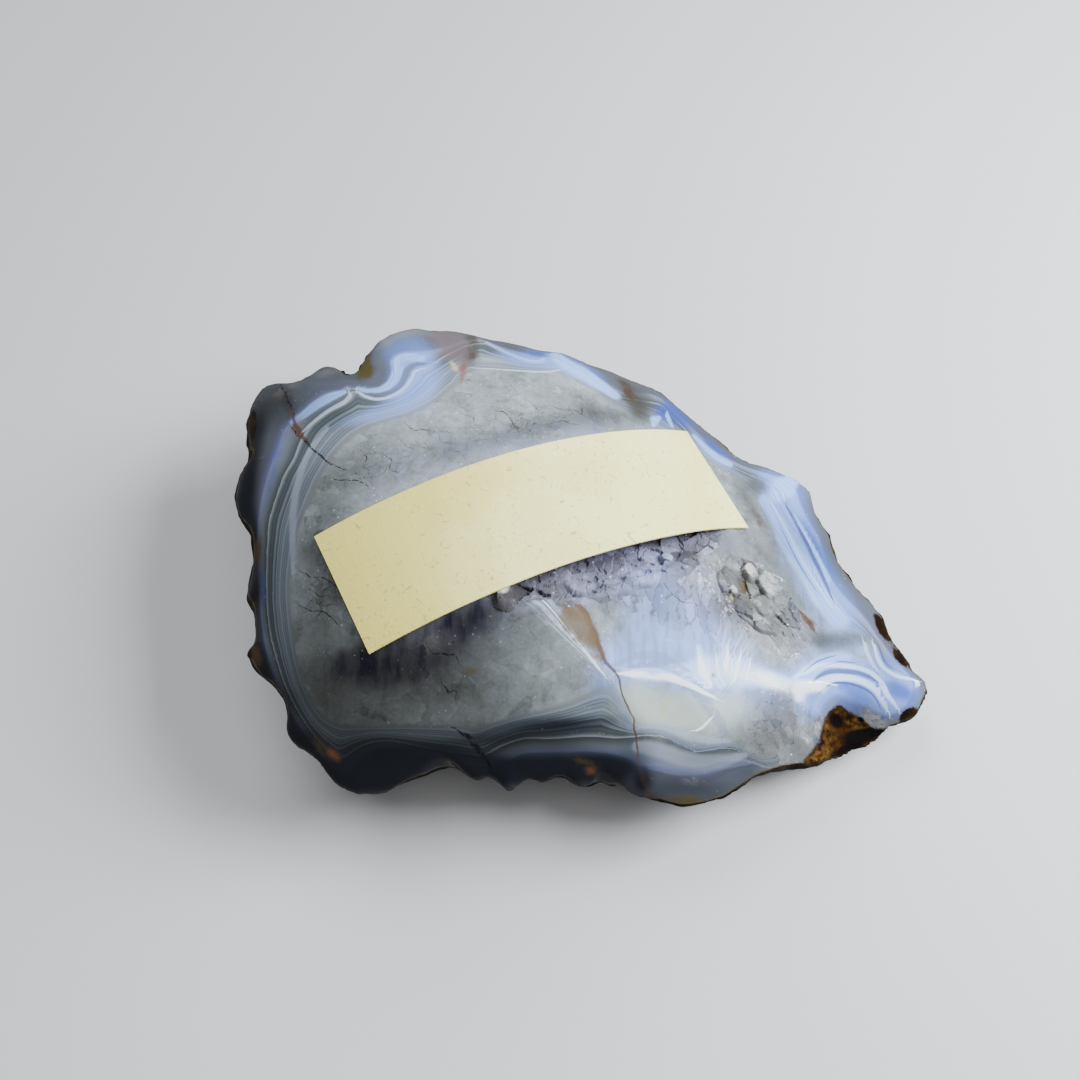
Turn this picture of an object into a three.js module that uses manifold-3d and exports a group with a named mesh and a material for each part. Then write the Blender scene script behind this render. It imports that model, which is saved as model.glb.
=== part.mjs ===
// A polished Botswana agate: half a nodule with a domed, polished face over a rough
// natural underside, a crystal-lined hollow under its crest, a second small drusy pocket
// towards its thin end, and a paper label laid over the crest.
// Millimetres, +Z up. X runs along the stone, from its thick end at -X to its thin end at +X.
// The origin is on the ground, under the middle of the outline.

import * as THREE from 'three';
import { mergeVertices } from 'three/addons/utils/BufferGeometryUtils.js';
import Module from 'manifold-3d';

const degree = Math.PI / 180;

// The edge of the polished face, seen from above, clockwise from the middle of the thick end.
const rimOutline = [
  [-55, -2.5], [-58.5, 3], [-59, 9], [-57, 14], [-58, 16], [-59, 24], [-56.8, 30], [-50.8, 29.8],
  [-48.5, 32], [-45.6, 33.9], [-43.4, 31.8], [-41.4, 30], [-39.7, 31.8], [-39.2, 35], [-38.4, 38.3],
  [-36.5, 41], [-31.5, 44.2],
  [-27.5, 43.8], [-25, 44], [-16, 42.3], [-10.5, 41], [-3.5, 41], [2.5, 38.7], [9.5, 36.8],
  [15.5, 35], [20, 31.5], [25, 27], [30, 22.5], [37, 20.8], [42.2, 18], [43.2, 12],
  [45, 8], [45.5, 4], [48, -1.5], [52.5, -7], [54, -13], [56.5, -16], [56.5, -17.5], [59, -19.5],
  [59, -21], [57, -25], [55.5, -26.5], [50.5, -28.5], [50.5, -30], [45, -32], [41, -34],
  [36.5, -36], [34.5, -36], [27.5, -38.5], [21.5, -42], [15.5, -43.5], [9.5, -42.5],
  [7.5, -42.3], [4, -39.5], [2, -39.3], [-0.5, -41.5], [-4, -39.8], [-8, -41], [-9.5, -40.2],
  [-12, -42.3], [-15, -40], [-17.5, -40.8], [-22.5, -38.2], [-26.5, -40.5], [-31.5, -42.7],
  [-35.5, -43], [-39.5, -41.5], [-42.5, -38.6], [-46.5, -35.5], [-47, -31.5],
  [-49.5, -28], [-51.5, -26.5], [-54, -22.5], [-53, -21], [-53.5, -15.5], [-55, -12.5],
  [-54.5, -8.5],
];
// The rim is a sloping plane: its height over the origin, and its rise along X and along Y.
const rimHeight = 17.4;
const rimRise = { x: -0.16, y: 0.05 };
// The polished face turns over into the rim through a rounded, steeper edge.
const edge = { roll: 1.2, rollWidth: 0.8, slope: 0.85, outerSlope: 0.2, blend: 1.6 };

// The crest runs under the label: slopes in degrees along its length, level side to side
// apart from a slight fall towards -Y.
const crest = {
  middle: [-4.9, -0.5], height: 33.6, heading: 26.6, sideFall: 3.5, reach: 90, steps: 180,
  leftSlope: 16.3, middleSlope: -14.8, rightSlope: -41, beyondLeft: 26, beyondRight: -12,
};
const farFace = { start: 11.5, knee: 2, slope: 0.33, easing: 0.009 };
const nearFace = { start: 12.5, knee: 1.5, slope: 0.47, easing: 0.0105 };

// Soft creases of the polished face: points along the line, height and half width.
const creases = [
  { line: [[-9, -15], [-2.1, -22.7], [2.8, -26.9], [7.4, -34], [10.1, -43]], height: 1.1, width: 3.6 },
  { line: [[5, -27.6], [10, -26.2], [14.7, -27], [18.8, -29.4]], height: 0.8, width: 2.6 },
  { line: [[31, -27], [38.3, -23.8], [46, -22.5], [53, -23]], height: 1.1, width: 3 },
];
// Dips of the polished face: place, half sizes along and across, heading and depth.
const dips = [
  { at: [31, -8.5], size: [7.5, 4.6], heading: -20, depth: 2 },
  { at: [42.5, -29.2], size: [6.2, 4.6], heading: 24, depth: 3.2 },
  { at: [31, -30], size: [4.5, 5], heading: 60, depth: 0.9 },
  { at: [-8, 12], size: [14, 9], heading: 10, depth: 0.35 },
];

// The crystal-lined hollow: the middle and half sizes of its lip, and its depth.
const hollow = { at: [2.6, -6], size: [24, 8.5], depth: 6 };
const crustGap = 0.45;

const label = { length: 75, width: 22, thickness: 0.3, gap: 0.32 };

// The oval flat spot that the stone stands on, and the lumps of the rough skin around it.
const base = { at: [-8, -1], size: [28, 19] };
const underside = { lumpSize: 10, lumpHeight: 3, knobSize: 4.6, knobHeight: 1.1 };
// How many rim points to each side are averaged for the smoothed outlines.
const smoothing = { face: 5, underside: 9 };
const undersidePits = [
  { at: [-38, 18, 9], radius: 6, depth: 2.2 }, { at: [-44, -14, 12], radius: 5, depth: 1.8 },
  { at: [10, 27, 7], radius: 6, depth: 2 }, { at: [34, 2, 4], radius: 7, depth: 2 },
  { at: [-12, -32, 6], radius: 5, depth: 1.8 }, { at: [20, -30, 4], radius: 5, depth: 1.6 },
];

const segments = 168;
const rings = { hollow: 4, face: 9, underside: 7, base: 1 };

const agateLook = { color: 0x8d93a6, roughness: 0.12, metalness: 0 };
const crystalLook = { color: 0xb9b6c4, roughness: 0.2, metalness: 0 };
const paperLook = { color: 0xe4d9ac, roughness: 0.85, metalness: 0 };

const dot = (a, b) => a[0] * b[0] + a[1] * b[1];
const minus = (a, b) => [a[0] - b[0], a[1] - b[1]];
const softPlus = (x, width) => width * Math.log1p(Math.exp(x / width));
const softMin = (a, b, width) => a - softPlus(a - b, width);
const direction = (heading) => [Math.cos(heading * degree), Math.sin(heading * degree)];

// Smooth repeatable noise from -1 to 1, with one value at each corner of a unit lattice.
function noise(x, y, z) {
  const corner = (i, j, k) => {
    const s = Math.sin(i * 127.1 + j * 311.7 + k * 74.7) * 43758.5453;
    return 2 * (s - Math.floor(s)) - 1;
  };
  const [i, j, k] = [x, y, z].map(Math.floor);
  const [u, v, w] = [x - i, y - j, z - k].map((t) => t * t * (3 - 2 * t));
  const mix = THREE.MathUtils.lerp;
  const layer = (n) => mix(
    mix(corner(i, j, n), corner(i + 1, j, n), u),
    mix(corner(i, j + 1, n), corner(i + 1, j + 1, n), u), v);
  return mix(layer(k), layer(k + 1), w);
}

// The rim as evenly spaced points, counterclockwise seen from above.
const rimCurve = new THREE.CatmullRomCurve3(
  rimOutline.map(([x, y]) => new THREE.Vector3(x, y, 0)).reverse(), true, 'centripetal');
const rim = rimCurve.getSpacedPoints(segments).slice(0, segments).map((p) => [p.x, p.y]);
const rimLevel = ([x, y]) => rimHeight + rimRise.x * x + rimRise.y * y;

// The same outline with its teeth and notches averaged away: the polished face and the form
// lower down follow it.
function smoothedRim(reach) {
  return rim.map((_, i) => {
    const near = Array.from({ length: 2 * reach + 1 }, (__, k) => rim.at((i + k - reach) % segments));
    return [0, 1].map((axis) => near.reduce((sum, p) => sum + p[axis], 0) / near.length);
  });
}
const faceRim = smoothedRim(smoothing.face);
const lowerRim = smoothedRim(smoothing.underside);

function distanceToLine(p, line, closed = false) {
  let nearest = Infinity;
  const count = closed ? line.length : line.length - 1;
  for (let i = 0; i < count; i++) {
    const a = line[i];
    const along = minus(line[(i + 1) % line.length], a);
    const t = THREE.MathUtils.clamp(dot(minus(p, a), along) / dot(along, along), 0, 1);
    nearest = Math.min(nearest, Math.hypot(p[0] - a[0] - t * along[0], p[1] - a[1] - t * along[1]));
  }
  return nearest;
}

function isInside([x, y], outline) {
  let inside = false;
  outline.forEach(([ax, ay], i) => {
    const [bx, by] = outline.at(i - 1);
    if ((ay > y) !== (by > y) && x < ax + (bx - ax) * (y - ay) / (by - ay)) {
      inside = !inside;
    }
  });
  return inside;
}

// The crest's slope in radians, s mm along it from its middle: a parabola under the label,
// which eases off beyond the label's ends.
const crestAlong = direction(crest.heading);
const crestAcross = [crestAlong[1], -crestAlong[0]];
function crestSlope(s) {
  const half = label.length / 2;
  const w = THREE.MathUtils.clamp(s / half, -1, 1);
  const bend = (crest.leftSlope + crest.rightSlope) / 2 - crest.middleSlope;
  const lean = (crest.rightSlope - crest.leftSlope) / 2;
  const under = crest.middleSlope + lean * w + bend * w * w;
  const past = THREE.MathUtils.smoothstep(Math.abs(s) - half, 0, half / 4);
  return THREE.MathUtils.lerp(under, s < 0 ? crest.beyondLeft : crest.beyondRight, past) * degree;
}

// The crest line, walked out both ways from its middle: u is the distance along it in plan.
function crestCurve(reach, steps) {
  const walk = (sign) => {
    const points = [];
    const step = sign * reach / steps;
    let [u, z] = [0, crest.height];
    for (let i = 0; i <= steps; i++) {
      points.push({ u, z, slope: crestSlope(i * step) });
      const slope = crestSlope((i + 0.5) * step);
      u += step * Math.cos(slope);
      z += step * Math.sin(slope);
    }
    return points;
  };
  return [...walk(-1).slice(1).reverse(), ...walk(1)];
}
const crestLine = crestCurve(crest.reach, crest.steps);
function crestHeight(u) {
  const next = crestLine.findIndex((p) => p.u > u);
  const [a, b] = [crestLine[next - 1], crestLine[next]];
  return a.z + (b.z - a.z) * (u - a.u) / (b.u - a.u);
}

// How far inside an oval a point lies: 0 at its middle, 1 on its edge.
function ovalReach(p, { at, size, heading = crest.heading }) {
  const along = direction(heading);
  const q = minus(p, at);
  return Math.hypot(dot(q, along) / size[0], (q[1] * along[0] - q[0] * along[1]) / size[1]);
}

// Height of the polished face, before the hollow is sunk in it.
function faceHeight(p) {
  const q = minus(p, crest.middle);
  const [u, v] = [dot(q, crestAlong), dot(q, crestAcross)];
  const farSlope = Math.max(farFace.slope - farFace.easing * Math.max(u, 0), 0);
  const far = farSlope * softPlus(-v - farFace.start, farFace.knee);
  const nearSlope = Math.max(nearFace.slope - nearFace.easing * u, 0);
  const near = nearSlope * softPlus(v - nearFace.start, nearFace.knee);
  let z = crestHeight(u) - v * Math.tan(crest.sideFall * degree) - far - near;
  for (const { line, height, width } of creases) {
    z += height * Math.exp(-((distanceToLine(p, line) / width) ** 2));
  }
  const inset = distanceToLine(p, faceRim, true) * (isInside(p, faceRim) ? 1 : -1);
  const rolled = inset < 0
    ? edge.outerSlope * inset
    : edge.roll * (1 - Math.exp(-inset / edge.rollWidth)) + edge.slope * inset;
  z = softMin(z, rimLevel(p) + rolled, edge.blend);
  for (const dip of dips) {
    z -= dip.depth * Math.exp(-(ovalReach(p, dip) ** 4));
  }
  return z;
}

// The hollow sinks steeply from its lip to a bowl-shaped floor.
const hollowHeight = (p) => {
  const reach = ovalReach(p, hollow);
  return faceHeight(p) - (reach < 1 ? hollow.depth * (1 - reach ** 3) : 0);
};

// The rough underside: t runs from 0 at the rim to 1 at the flat spot.
function undersidePoint(segment, t) {
  const fade = THREE.MathUtils.smoothstep(t, 0, 0.45);
  const [rimX, rimY] = [0, 1].map(
    (axis) => THREE.MathUtils.lerp(rim[segment][axis], lowerRim[segment][axis], fade));
  const heading = Math.atan2((rimY - base.at[1]) / base.size[1], (rimX - base.at[0]) / base.size[0]);
  const footX = base.at[0] + base.size[0] * Math.cos(heading);
  const footY = base.at[1] + base.size[1] * Math.sin(heading);
  const turn = t * Math.PI / 2;
  const out = Math.cos(turn) ** 0.75;
  const x = footX + (rimX - footX) * out;
  const y = footY + (rimY - footY) * out;
  const z = faceHeight(rim[segment]) * (1 - t) ** 0.9;
  const { lumpSize, lumpHeight, knobSize, knobHeight } = underside;
  const lump = 0.35 - Math.abs(noise(x / lumpSize, y / lumpSize, z / lumpSize + 4));
  let push = lumpHeight * lump + knobHeight * noise(x / knobSize, y / knobSize, z / knobSize);
  for (const pit of undersidePits) {
    const reach = Math.hypot(x - pit.at[0], y - pit.at[1], z - pit.at[2]) / pit.radius;
    push -= pit.depth * Math.exp(-reach * reach);
  }
  push *= Math.sin(Math.PI * t) ** 0.6;
  const away = Math.hypot(x - base.at[0], y - base.at[1]);
  const outward = push * Math.cos(turn) / away;
  const lowest = t < 1 ? 0.05 : 0;
  return [
    x + outward * (x - base.at[0]),
    y + outward * (y - base.at[1]),
    Math.max(z - push * Math.sin(turn), lowest),
  ];
}

// One closed surface: from the middle of the hollow out over the face to the rim, then down
// the rough underside to the flat spot that the stone stands on.
function stonePoint(ring, segment) {
  if (ring <= rings.hollow + rings.face) {
    const ray = minus(rim[segment], hollow.at);
    const lip = 1 / ovalReach(rim[segment], hollow);
    const t = ring <= rings.hollow
      ? lip * (ring / rings.hollow) ** 0.6
      : lip + (1 - lip) * (ring - rings.hollow) / rings.face;
    const p = [hollow.at[0] + t * ray[0], hollow.at[1] + t * ray[1]];
    return [...p, ring < rings.hollow ? hollowHeight(p) : faceHeight(p)];
  }
  const down = ring - rings.hollow - rings.face;
  if (down > rings.underside) {
    return [...base.at, 0];
  }
  return undersidePoint(segment, down / rings.underside);
}

function agateStone() {
  const ringCount = rings.hollow + rings.face + rings.underside + rings.base;
  const geometry = new THREE.SphereGeometry(1, segments, ringCount);
  const { position } = geometry.attributes;
  for (let ring = 0; ring <= ringCount; ring++) {
    for (let i = 0; i <= segments; i++) {
      position.setXYZ(ring * (segments + 1) + i, ...stonePoint(ring, i % segments));
    }
  }
  return geometry;
}

// A thin sheet lying over a floor inside an oval, thinning out to its edge.
function crustSheet(oval, floor, thickness) {
  const [columns, rows] = [Math.round(oval.size[0]) + 10, 8];
  const geometry = new THREE.SphereGeometry(1, columns, rows);
  const { position } = geometry.attributes;
  const along = direction(oval.heading ?? crest.heading);
  for (let i = 0; i < position.count; i++) {
    const unit = new THREE.Vector3().fromBufferAttribute(position, i);
    const [a, b] = [unit.x * oval.size[0], -unit.z * oval.size[1]];
    const p = [oval.at[0] + a * along[0] - b * along[1], oval.at[1] + a * along[1] + b * along[0]];
    const top = unit.y > 0 ? thickness * unit.y : 0;
    position.setXYZ(i, ...p, floor(p) + crustGap + top);
  }
  return geometry;
}

// A six-sided quartz point, standing on its own origin.
function quartzPoint(radius, shaft, tip) {
  const profile = [[0, 0], [radius, 0], [radius, shaft], [0, shaft + tip]];
  const geometry = new THREE.LatheGeometry(profile.map(([x, y]) => new THREE.Vector2(x, y)), 6);
  return geometry.rotateX(Math.PI / 2);
}

const wasm = await Module();
wasm.setup();
function toSolid(geometry) {
  const bare = geometry.clone();
  bare.deleteAttribute('normal');
  bare.deleteAttribute('uv');
  const merged = mergeVertices(bare, 1e-4);
  const index = [...merged.index.array];
  const faces = [];
  for (let i = 0; i < index.length; i += 3) {
    const [a, b, c] = index.slice(i, i + 3);
    if (a !== b && b !== c && c !== a) {
      faces.push(a, b, c);
    }
  }
  return new wasm.Manifold(new wasm.Mesh({
    numProp: 3,
    vertProperties: Float32Array.from(merged.attributes.position.array),
    triVerts: Uint32Array.from(faces),
  }));
}
function toGeometry(solid) {
  const mesh = solid.getMesh();
  const geometry = new THREE.BufferGeometry();
  geometry.setAttribute('position', new THREE.BufferAttribute(mesh.vertProperties, 3));
  geometry.setIndex(new THREE.BufferAttribute(mesh.triVerts, 1));
  geometry.computeVertexNormals();
  return geometry;
}

// The direction that a floor faces at a point, from its rise over a short step each way.
function floorNormal(floor, [x, y]) {
  const step = 0.5;
  const rise = (dx, dy) => floor([x + dx, y + dy]) - floor([x - dx, y - dy]);
  return new THREE.Vector3(-rise(step, 0), -rise(0, step), 2 * step).normalize();
}

// Quartz points set on a sheet in a sunflower pattern, each a little different, standing off
// the floor that they grow from.
function crystalCrust(oval, floor, { count, radius, shaft, tip, thickness, spread }) {
  let crust = toSolid(crustSheet(oval, floor, thickness));
  const golden = Math.PI * (3 - Math.sqrt(5));
  const along = direction(oval.heading ?? crest.heading);
  const up = new THREE.Vector3(0, 0, 1);
  for (let i = 0; i < count; i++) {
    const reach = spread * Math.sqrt((i + 0.5) / count);
    const x = Math.cos(i * golden) * reach * oval.size[0];
    const y = Math.sin(i * golden) * reach * oval.size[1];
    const p = [oval.at[0] + x * along[0] - y * along[1], oval.at[1] + x * along[1] + y * along[0]];
    const size = 1 + 0.38 * noise(i * 1.7, 3.1, 0.5);
    const point = quartzPoint(radius * size, shaft * size * (1 - 0.4 * reach), tip * size);
    point.rotateZ(i * 1.3);
    point.rotateX(0.25 * noise(i * 2.3, 0.4, 7.2));
    point.rotateY(0.25 * noise(i * 1.9, 5.2, 2.6));
    const normal = floorNormal(floor, p);
    point.applyQuaternion(new THREE.Quaternion().setFromUnitVectors(up, normal));
    const foot = crustGap + 0.45 * thickness;
    point.translate(p[0] + foot * normal.x, p[1] + foot * normal.y, floor(p) + foot * normal.z);
    crust = crust.add(toSolid(point));
  }
  return toGeometry(crust);
}

// The paper strip: the crest's own curve, given a thickness and swept across the crest.
function paperLabel() {
  const offsetCurve = (offset) => crestCurve(label.length / 2, 18).map(({ u, z, slope }) => new THREE.Vector2(
    u - offset * Math.sin(slope), z - crest.height + offset * Math.cos(slope)));
  const underSide = offsetCurve(label.gap);
  const upperSide = offsetCurve(label.gap + label.thickness);
  const outline = new THREE.Shape([...underSide, ...upperSide.reverse()]);
  const strip = new THREE.ExtrudeGeometry(outline, { depth: label.width, bevelEnabled: false });
  return strip.translate(0, 0, -label.width / 2);
}

function piece(name, geometry, look) {
  const mesh = new THREE.Mesh(geometry, new THREE.MeshStandardMaterial(look));
  mesh.name = name;
  return mesh;
}

const agate = piece('agate', agateStone(), agateLook);

const hollowBed = { at: hollow.at, size: [21.6, 7.2] };
const hollowCrystals = { count: 34, radius: 1.65, shaft: 0.7, tip: 1.8, thickness: 1.2, spread: 0.84 };
const hollowCrust = piece(
  'hollow_crystals', crystalCrust(hollowBed, hollowHeight, hollowCrystals), crystalLook);

const [pocket] = dips;
const pocketBed = { at: pocket.at, size: [6.2, 3.4], heading: pocket.heading };
const pocketFloor = (p) => faceHeight(p) + 0.3;
const pocketCrystals = { count: 6, radius: 1.35, shaft: 0.4, tip: 1.2, thickness: 0.8, spread: 0.75 };
const pocketCrust = piece(
  'pocket_crystals', crystalCrust(pocketBed, pocketFloor, pocketCrystals), crystalLook);

const paper = piece('label', paperLabel(), paperLook);
const across = new THREE.Vector3(...crestAcross, -Math.tan(crest.sideFall * degree)).normalize();
const lengthwise = new THREE.Vector3(...crestAlong, 0);
const outward = new THREE.Vector3().crossVectors(across, lengthwise);
paper.setRotationFromMatrix(new THREE.Matrix4().makeBasis(lengthwise, outward, across));
paper.position.set(...crest.middle, crest.height);

const specimen = new THREE.Group();
specimen.add(agate, hollowCrust, pocketCrust, paper);
export default specimen;
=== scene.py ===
"""Half a nodule of banded agate with a polished domed face, a crystal-lined hollow and a
blank paper strip over its crest. Blender works in metres, +Z up. Places on the face are
lists of x, y in millimetres, seen from straight above."""
import math

import bpy
import numpy as np
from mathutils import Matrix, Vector, noise
from mathutils.bvhtree import BVHTree


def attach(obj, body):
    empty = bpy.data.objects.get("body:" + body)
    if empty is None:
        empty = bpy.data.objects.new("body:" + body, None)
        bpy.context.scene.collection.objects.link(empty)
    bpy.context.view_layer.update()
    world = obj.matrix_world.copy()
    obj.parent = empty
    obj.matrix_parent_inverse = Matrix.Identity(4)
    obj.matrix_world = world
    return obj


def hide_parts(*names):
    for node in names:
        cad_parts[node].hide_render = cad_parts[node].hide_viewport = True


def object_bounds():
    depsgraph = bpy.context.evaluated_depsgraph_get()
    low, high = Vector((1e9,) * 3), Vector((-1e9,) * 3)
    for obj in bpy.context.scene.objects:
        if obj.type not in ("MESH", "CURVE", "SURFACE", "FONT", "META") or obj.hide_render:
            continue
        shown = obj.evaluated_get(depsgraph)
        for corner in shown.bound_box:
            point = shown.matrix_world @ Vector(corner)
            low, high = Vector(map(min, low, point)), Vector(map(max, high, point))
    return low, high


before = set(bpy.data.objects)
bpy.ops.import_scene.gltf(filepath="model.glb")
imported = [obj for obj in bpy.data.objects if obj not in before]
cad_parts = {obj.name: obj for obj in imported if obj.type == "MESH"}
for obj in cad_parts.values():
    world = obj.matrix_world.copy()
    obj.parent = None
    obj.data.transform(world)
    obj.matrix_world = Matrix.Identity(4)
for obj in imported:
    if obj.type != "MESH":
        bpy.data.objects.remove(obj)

cad_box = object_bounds()
ground_level = cad_box[0][2]
MM = 0.001

# How far apart the corners of the stone's and the crusts' meshes lie, in millimetres, and
# how often a coarse form is subdivided.
STONE_PITCH = 0.55
CRUST_PITCH = 0.25
ROUNDING = 3
# The rim lies near a sloping plane: its height over the origin, and its rise along X and Y.
RIM_HEIGHT, RIM_RISE = 17.4, (-0.16, 0.05)
# How far the quartz's cells stray from an even pattern and in lumps how wide, and how wide
# the paper's fibres are, in millimetres.
STRAY, STRAY_SIZE, FIBRE_SIZE = 3.5, 1 / 0.26, 1 / 0.42

# The camera, in metres and degrees, and its lens.
CAMERA_PLACE, CAMERA_TILT, CAMERA_LENS = (-0.0075, -0.10565, 0.20382), 30, 41.4
# Each lamp's kind and name, the compass turn and the rise from which it faces the stone, its
# reach and power, its color, its size in metres or angle in degrees, and whether the stone
# mirrors it: soft light from the right, a glint, a sun behind and a weak one overhead.
LAMPS = [
    ("AREA", "window", 8, 42, 0.38, 4.0, (0.90, 0.95, 1.0), 0.22, False),
    ("AREA", "glint", 19, 14, 0.7, 0.5, (1.0, 1.0, 1.0), 0.07, True),
    ("SUN", "back_light", 110, 40, 1.0, 2.3, (0.93, 0.96, 1.0), 38, False),
    ("SUN", "overhead", -60, 75, 1.0, 0.6, (1.0, 1.0, 1.0), 40, False),
]

# The beds of the crusts: middle, half sizes and heading; how wide a broken lump is; how much
# of the hollow is filled; how deep clefts are; how much paler than plain the quartz is; and
# single crystals as x, y, size, rise and shade.
HOLLOW_BED = {
    "at": (3, -6.8), "size": (23.8, 9.6), "heading": 26.6,
    "lump": 4.0, "fill": 0.6, "cleft": 0.65, "pale": 0.04,
    "knobs": [
        (-13.6, -15.8, 1.5, 0.9, 1.9), (-1.4, -13.6, 2.6, 0.5, 0.9), (13.4, -5.6, 1.2, 0.5, 1.0),
    ],
}
POCKET_BED = {
    "at": (30, -9), "size": (9, 7.2), "heading": -30,
    "lump": 3.4, "fill": 0.7, "cleft": 0.5, "pale": 0.14,
    "knobs": [
        (28.4, -4.4, 1.5, 1.3, 1.4), (31.8, -5.4, 2.3, 1.1, 1.3), (24.8, -9.4, 0.9, 0.6, 1.6),
        (30.6, -10, 2.2, 0.5, 0.75),
    ],
}

# The edge of the polished face, clockwise from the middle of the thick end.
RIM = [
    (-55, -2.5), (-58.5, 3), (-59, 9), (-57, 14), (-58, 16), (-59, 24), (-56.8, 30), (-50.8, 29.8),
    (-48.5, 32), (-45.6, 33.9), (-43.4, 31.8), (-41.4, 30), (-39.7, 31.8), (-39.2, 35),
    (-38.4, 38.3), (-36.5, 41), (-31.5, 44.2), (-27.5, 43.8), (-25, 44), (-16, 42.3), (-10.5, 41),
    (-3.5, 41), (2.5, 38.7), (9.5, 36.8), (15.5, 35), (20, 31.5), (25, 27), (30, 22.5), (37, 20.8),
    (42.2, 18), (43.2, 12), (45, 8), (45.5, 4), (48, -1.5), (52.5, -7), (54, -13), (56.5, -16),
    (56.5, -17.5), (59, -19.5), (59, -21), (57, -25), (55.5, -26.5), (50.5, -28.5), (50.5, -30),
    (45, -32), (41, -34), (36.5, -36), (34.5, -36), (27.5, -38.5), (21.5, -42), (15.5, -43.5),
    (9.5, -42.5), (7.5, -42.3), (4, -39.5), (2, -39.3), (-0.5, -41.5), (-4, -39.8), (-8, -41),
    (-9.5, -40.2), (-12, -42.3), (-15, -40), (-17.5, -40.8), (-22.5, -38.2), (-26.5, -40.5),
    (-31.5, -42.7), (-35.5, -43), (-39.5, -41.5), (-42.5, -38.6), (-46.5, -35.5), (-47, -31.5),
    (-49.5, -28), (-51.5, -26.5), (-54, -22.5), (-53, -21), (-53.5, -15.5), (-55, -12.5),
    (-54.5, -8.5),
]
# The outer side of the first white band, the same way round.
FIRST_BAND = [
    (-53.2, -9), (-54, -2), (-54, 4), (-53.2, 10), (-52.4, 14), (-51.7, 18), (-49.6, 20.6),
    (-47.8, 23), (-45.3, 25.3), (-42.6, 25.6), (-41.4, 26.6), (-40.2, 25.9), (-38.6, 26),
    (-36.8, 25.2), (-35, 25.2), (-33.8, 26.4), (-33.3, 28.6), (-33.6, 31), (-33.9, 33.5),
    (-33.2, 35), (-31, 35.6), (-28, 36), (-25, 37.6), (-21.5, 39.6), (-18, 40.5), (-15, 38.5),
    (-12, 37.3), (-9, 37), (-7, 38), (-5.2, 39.6), (-3.6, 39.6), (-2, 37.6), (0.8, 35.9), (3, 33),
    (5, 31.2), (7.5, 30.6), (10, 31.5), (12.6, 33), (15, 33), (17, 31.3), (20, 28.5), (23, 25.5),
    (26, 22.8), (29, 21.2), (32.5, 20.2), (37, 19.3), (39.6, 17.2), (40.2, 14), (41.2, 10.5),
    (42.7, 7), (43.4, 3), (44, -1), (45.6, -4.3), (48, -7.2), (49.8, -9.8), (51.2, -12.5),
    (53.8, -16.5), (56.4, -20), (55, -24), (52.5, -26), (50.5, -26.3), (48.5, -25.5), (46, -24.3),
    (43, -23.9), (40.6, -25), (39, -27.5), (38.2, -30), (37, -32.5), (34.6, -34.6), (30, -37.2),
    (26, -36.9), (23, -37.4), (20, -38.8), (17, -39.3), (12, -39), (8.2, -39), (6.5, -38.2),
    (4, -37.5), (0, -37.2), (-3, -37.4), (-7, -37.6), (-10.5, -38), (-13, -39), (-15.6, -39.6),
    (-18, -39.6), (-22, -38.9), (-26, -38.4), (-30, -37.9), (-33.5, -38.3), (-35.6, -39.5),
    (-37, -40.8), (-39.2, -40.6), (-41, -39), (-43, -36.8), (-46, -33), (-48.3, -29), (-50, -25),
    (-51.2, -21), (-52, -17), (-52.7, -13),
]
# The thin bright line inside it.
BRIGHT_LINE = [
    (-51.8, -5), (-51.9, -1), (-51, 4), (-50.2, 7.5), (-49, 10.5), (-48.3, 13.8), (-47.4, 16.5),
    (-46, 18.6), (-43.6, 20.8), (-41.4, 22.1), (-40.4, 23.5), (-40.6, 25.1), (-39, 24.8),
    (-38, 23.7), (-36.5, 22.7), (-35, 22.5), (-33, 23.2), (-31.4, 24.8), (-30.3, 26.8),
    (-29.8, 28.8), (-29.2, 30), (-27.8, 31), (-26, 33), (-24, 35.6), (-21.5, 37.8), (-17.5, 39.3),
    (-15, 37.1), (-13, 35.9), (-11, 34.8), (-9, 34.4), (-7.2, 35.2), (-5.8, 37.2), (-4.2, 38),
    (-2.8, 36.2), (0.5, 33.6), (3, 31), (5, 29.6), (7.5, 28.8), (10, 29.5), (12.8, 30.5), (15, 31),
    (17, 29), (20, 26), (23, 23.3), (26.5, 21.2), (30, 19.5), (33.5, 18.3), (36.5, 16.5),
    (37.3, 13), (38.8, 9.5), (40.5, 6.5), (41.5, 3), (42.3, -1), (43.8, -4.8), (46, -8),
    (48.2, -10.3), (50, -12.4), (51, -15), (51.4, -18.5), (51.6, -21.3), (50.6, -21.6),
    (49.3, -20.3), (47.5, -19.3), (45, -19), (42.5, -19.6), (40, -21), (38, -23), (36.8, -25.5),
    (36.5, -28.5), (36.4, -31), (35.6, -33), (33.2, -35.1), (30, -36.9), (26.5, -36.6),
    (24, -35.4), (21, -35.5), (17.5, -36.2), (15, -35.4), (12, -34.6), (9, -34.8), (7, -35.1),
    (4, -35.3), (0, -35.2), (-3, -35.5), (-6, -35.8), (-10, -36), (-13.5, -37), (-15.6, -38),
    (-17, -38.3), (-21, -38.1), (-26, -37.6), (-30, -37.1), (-33, -37.2), (-35.6, -37.9),
    (-37.2, -38.8), (-38.8, -39.1), (-40.2, -38.2), (-42.6, -35.9), (-45, -32.6), (-47, -29.1),
    (-48.6, -25.2), (-50, -21), (-51, -16), (-51.6, -10),
]
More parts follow.
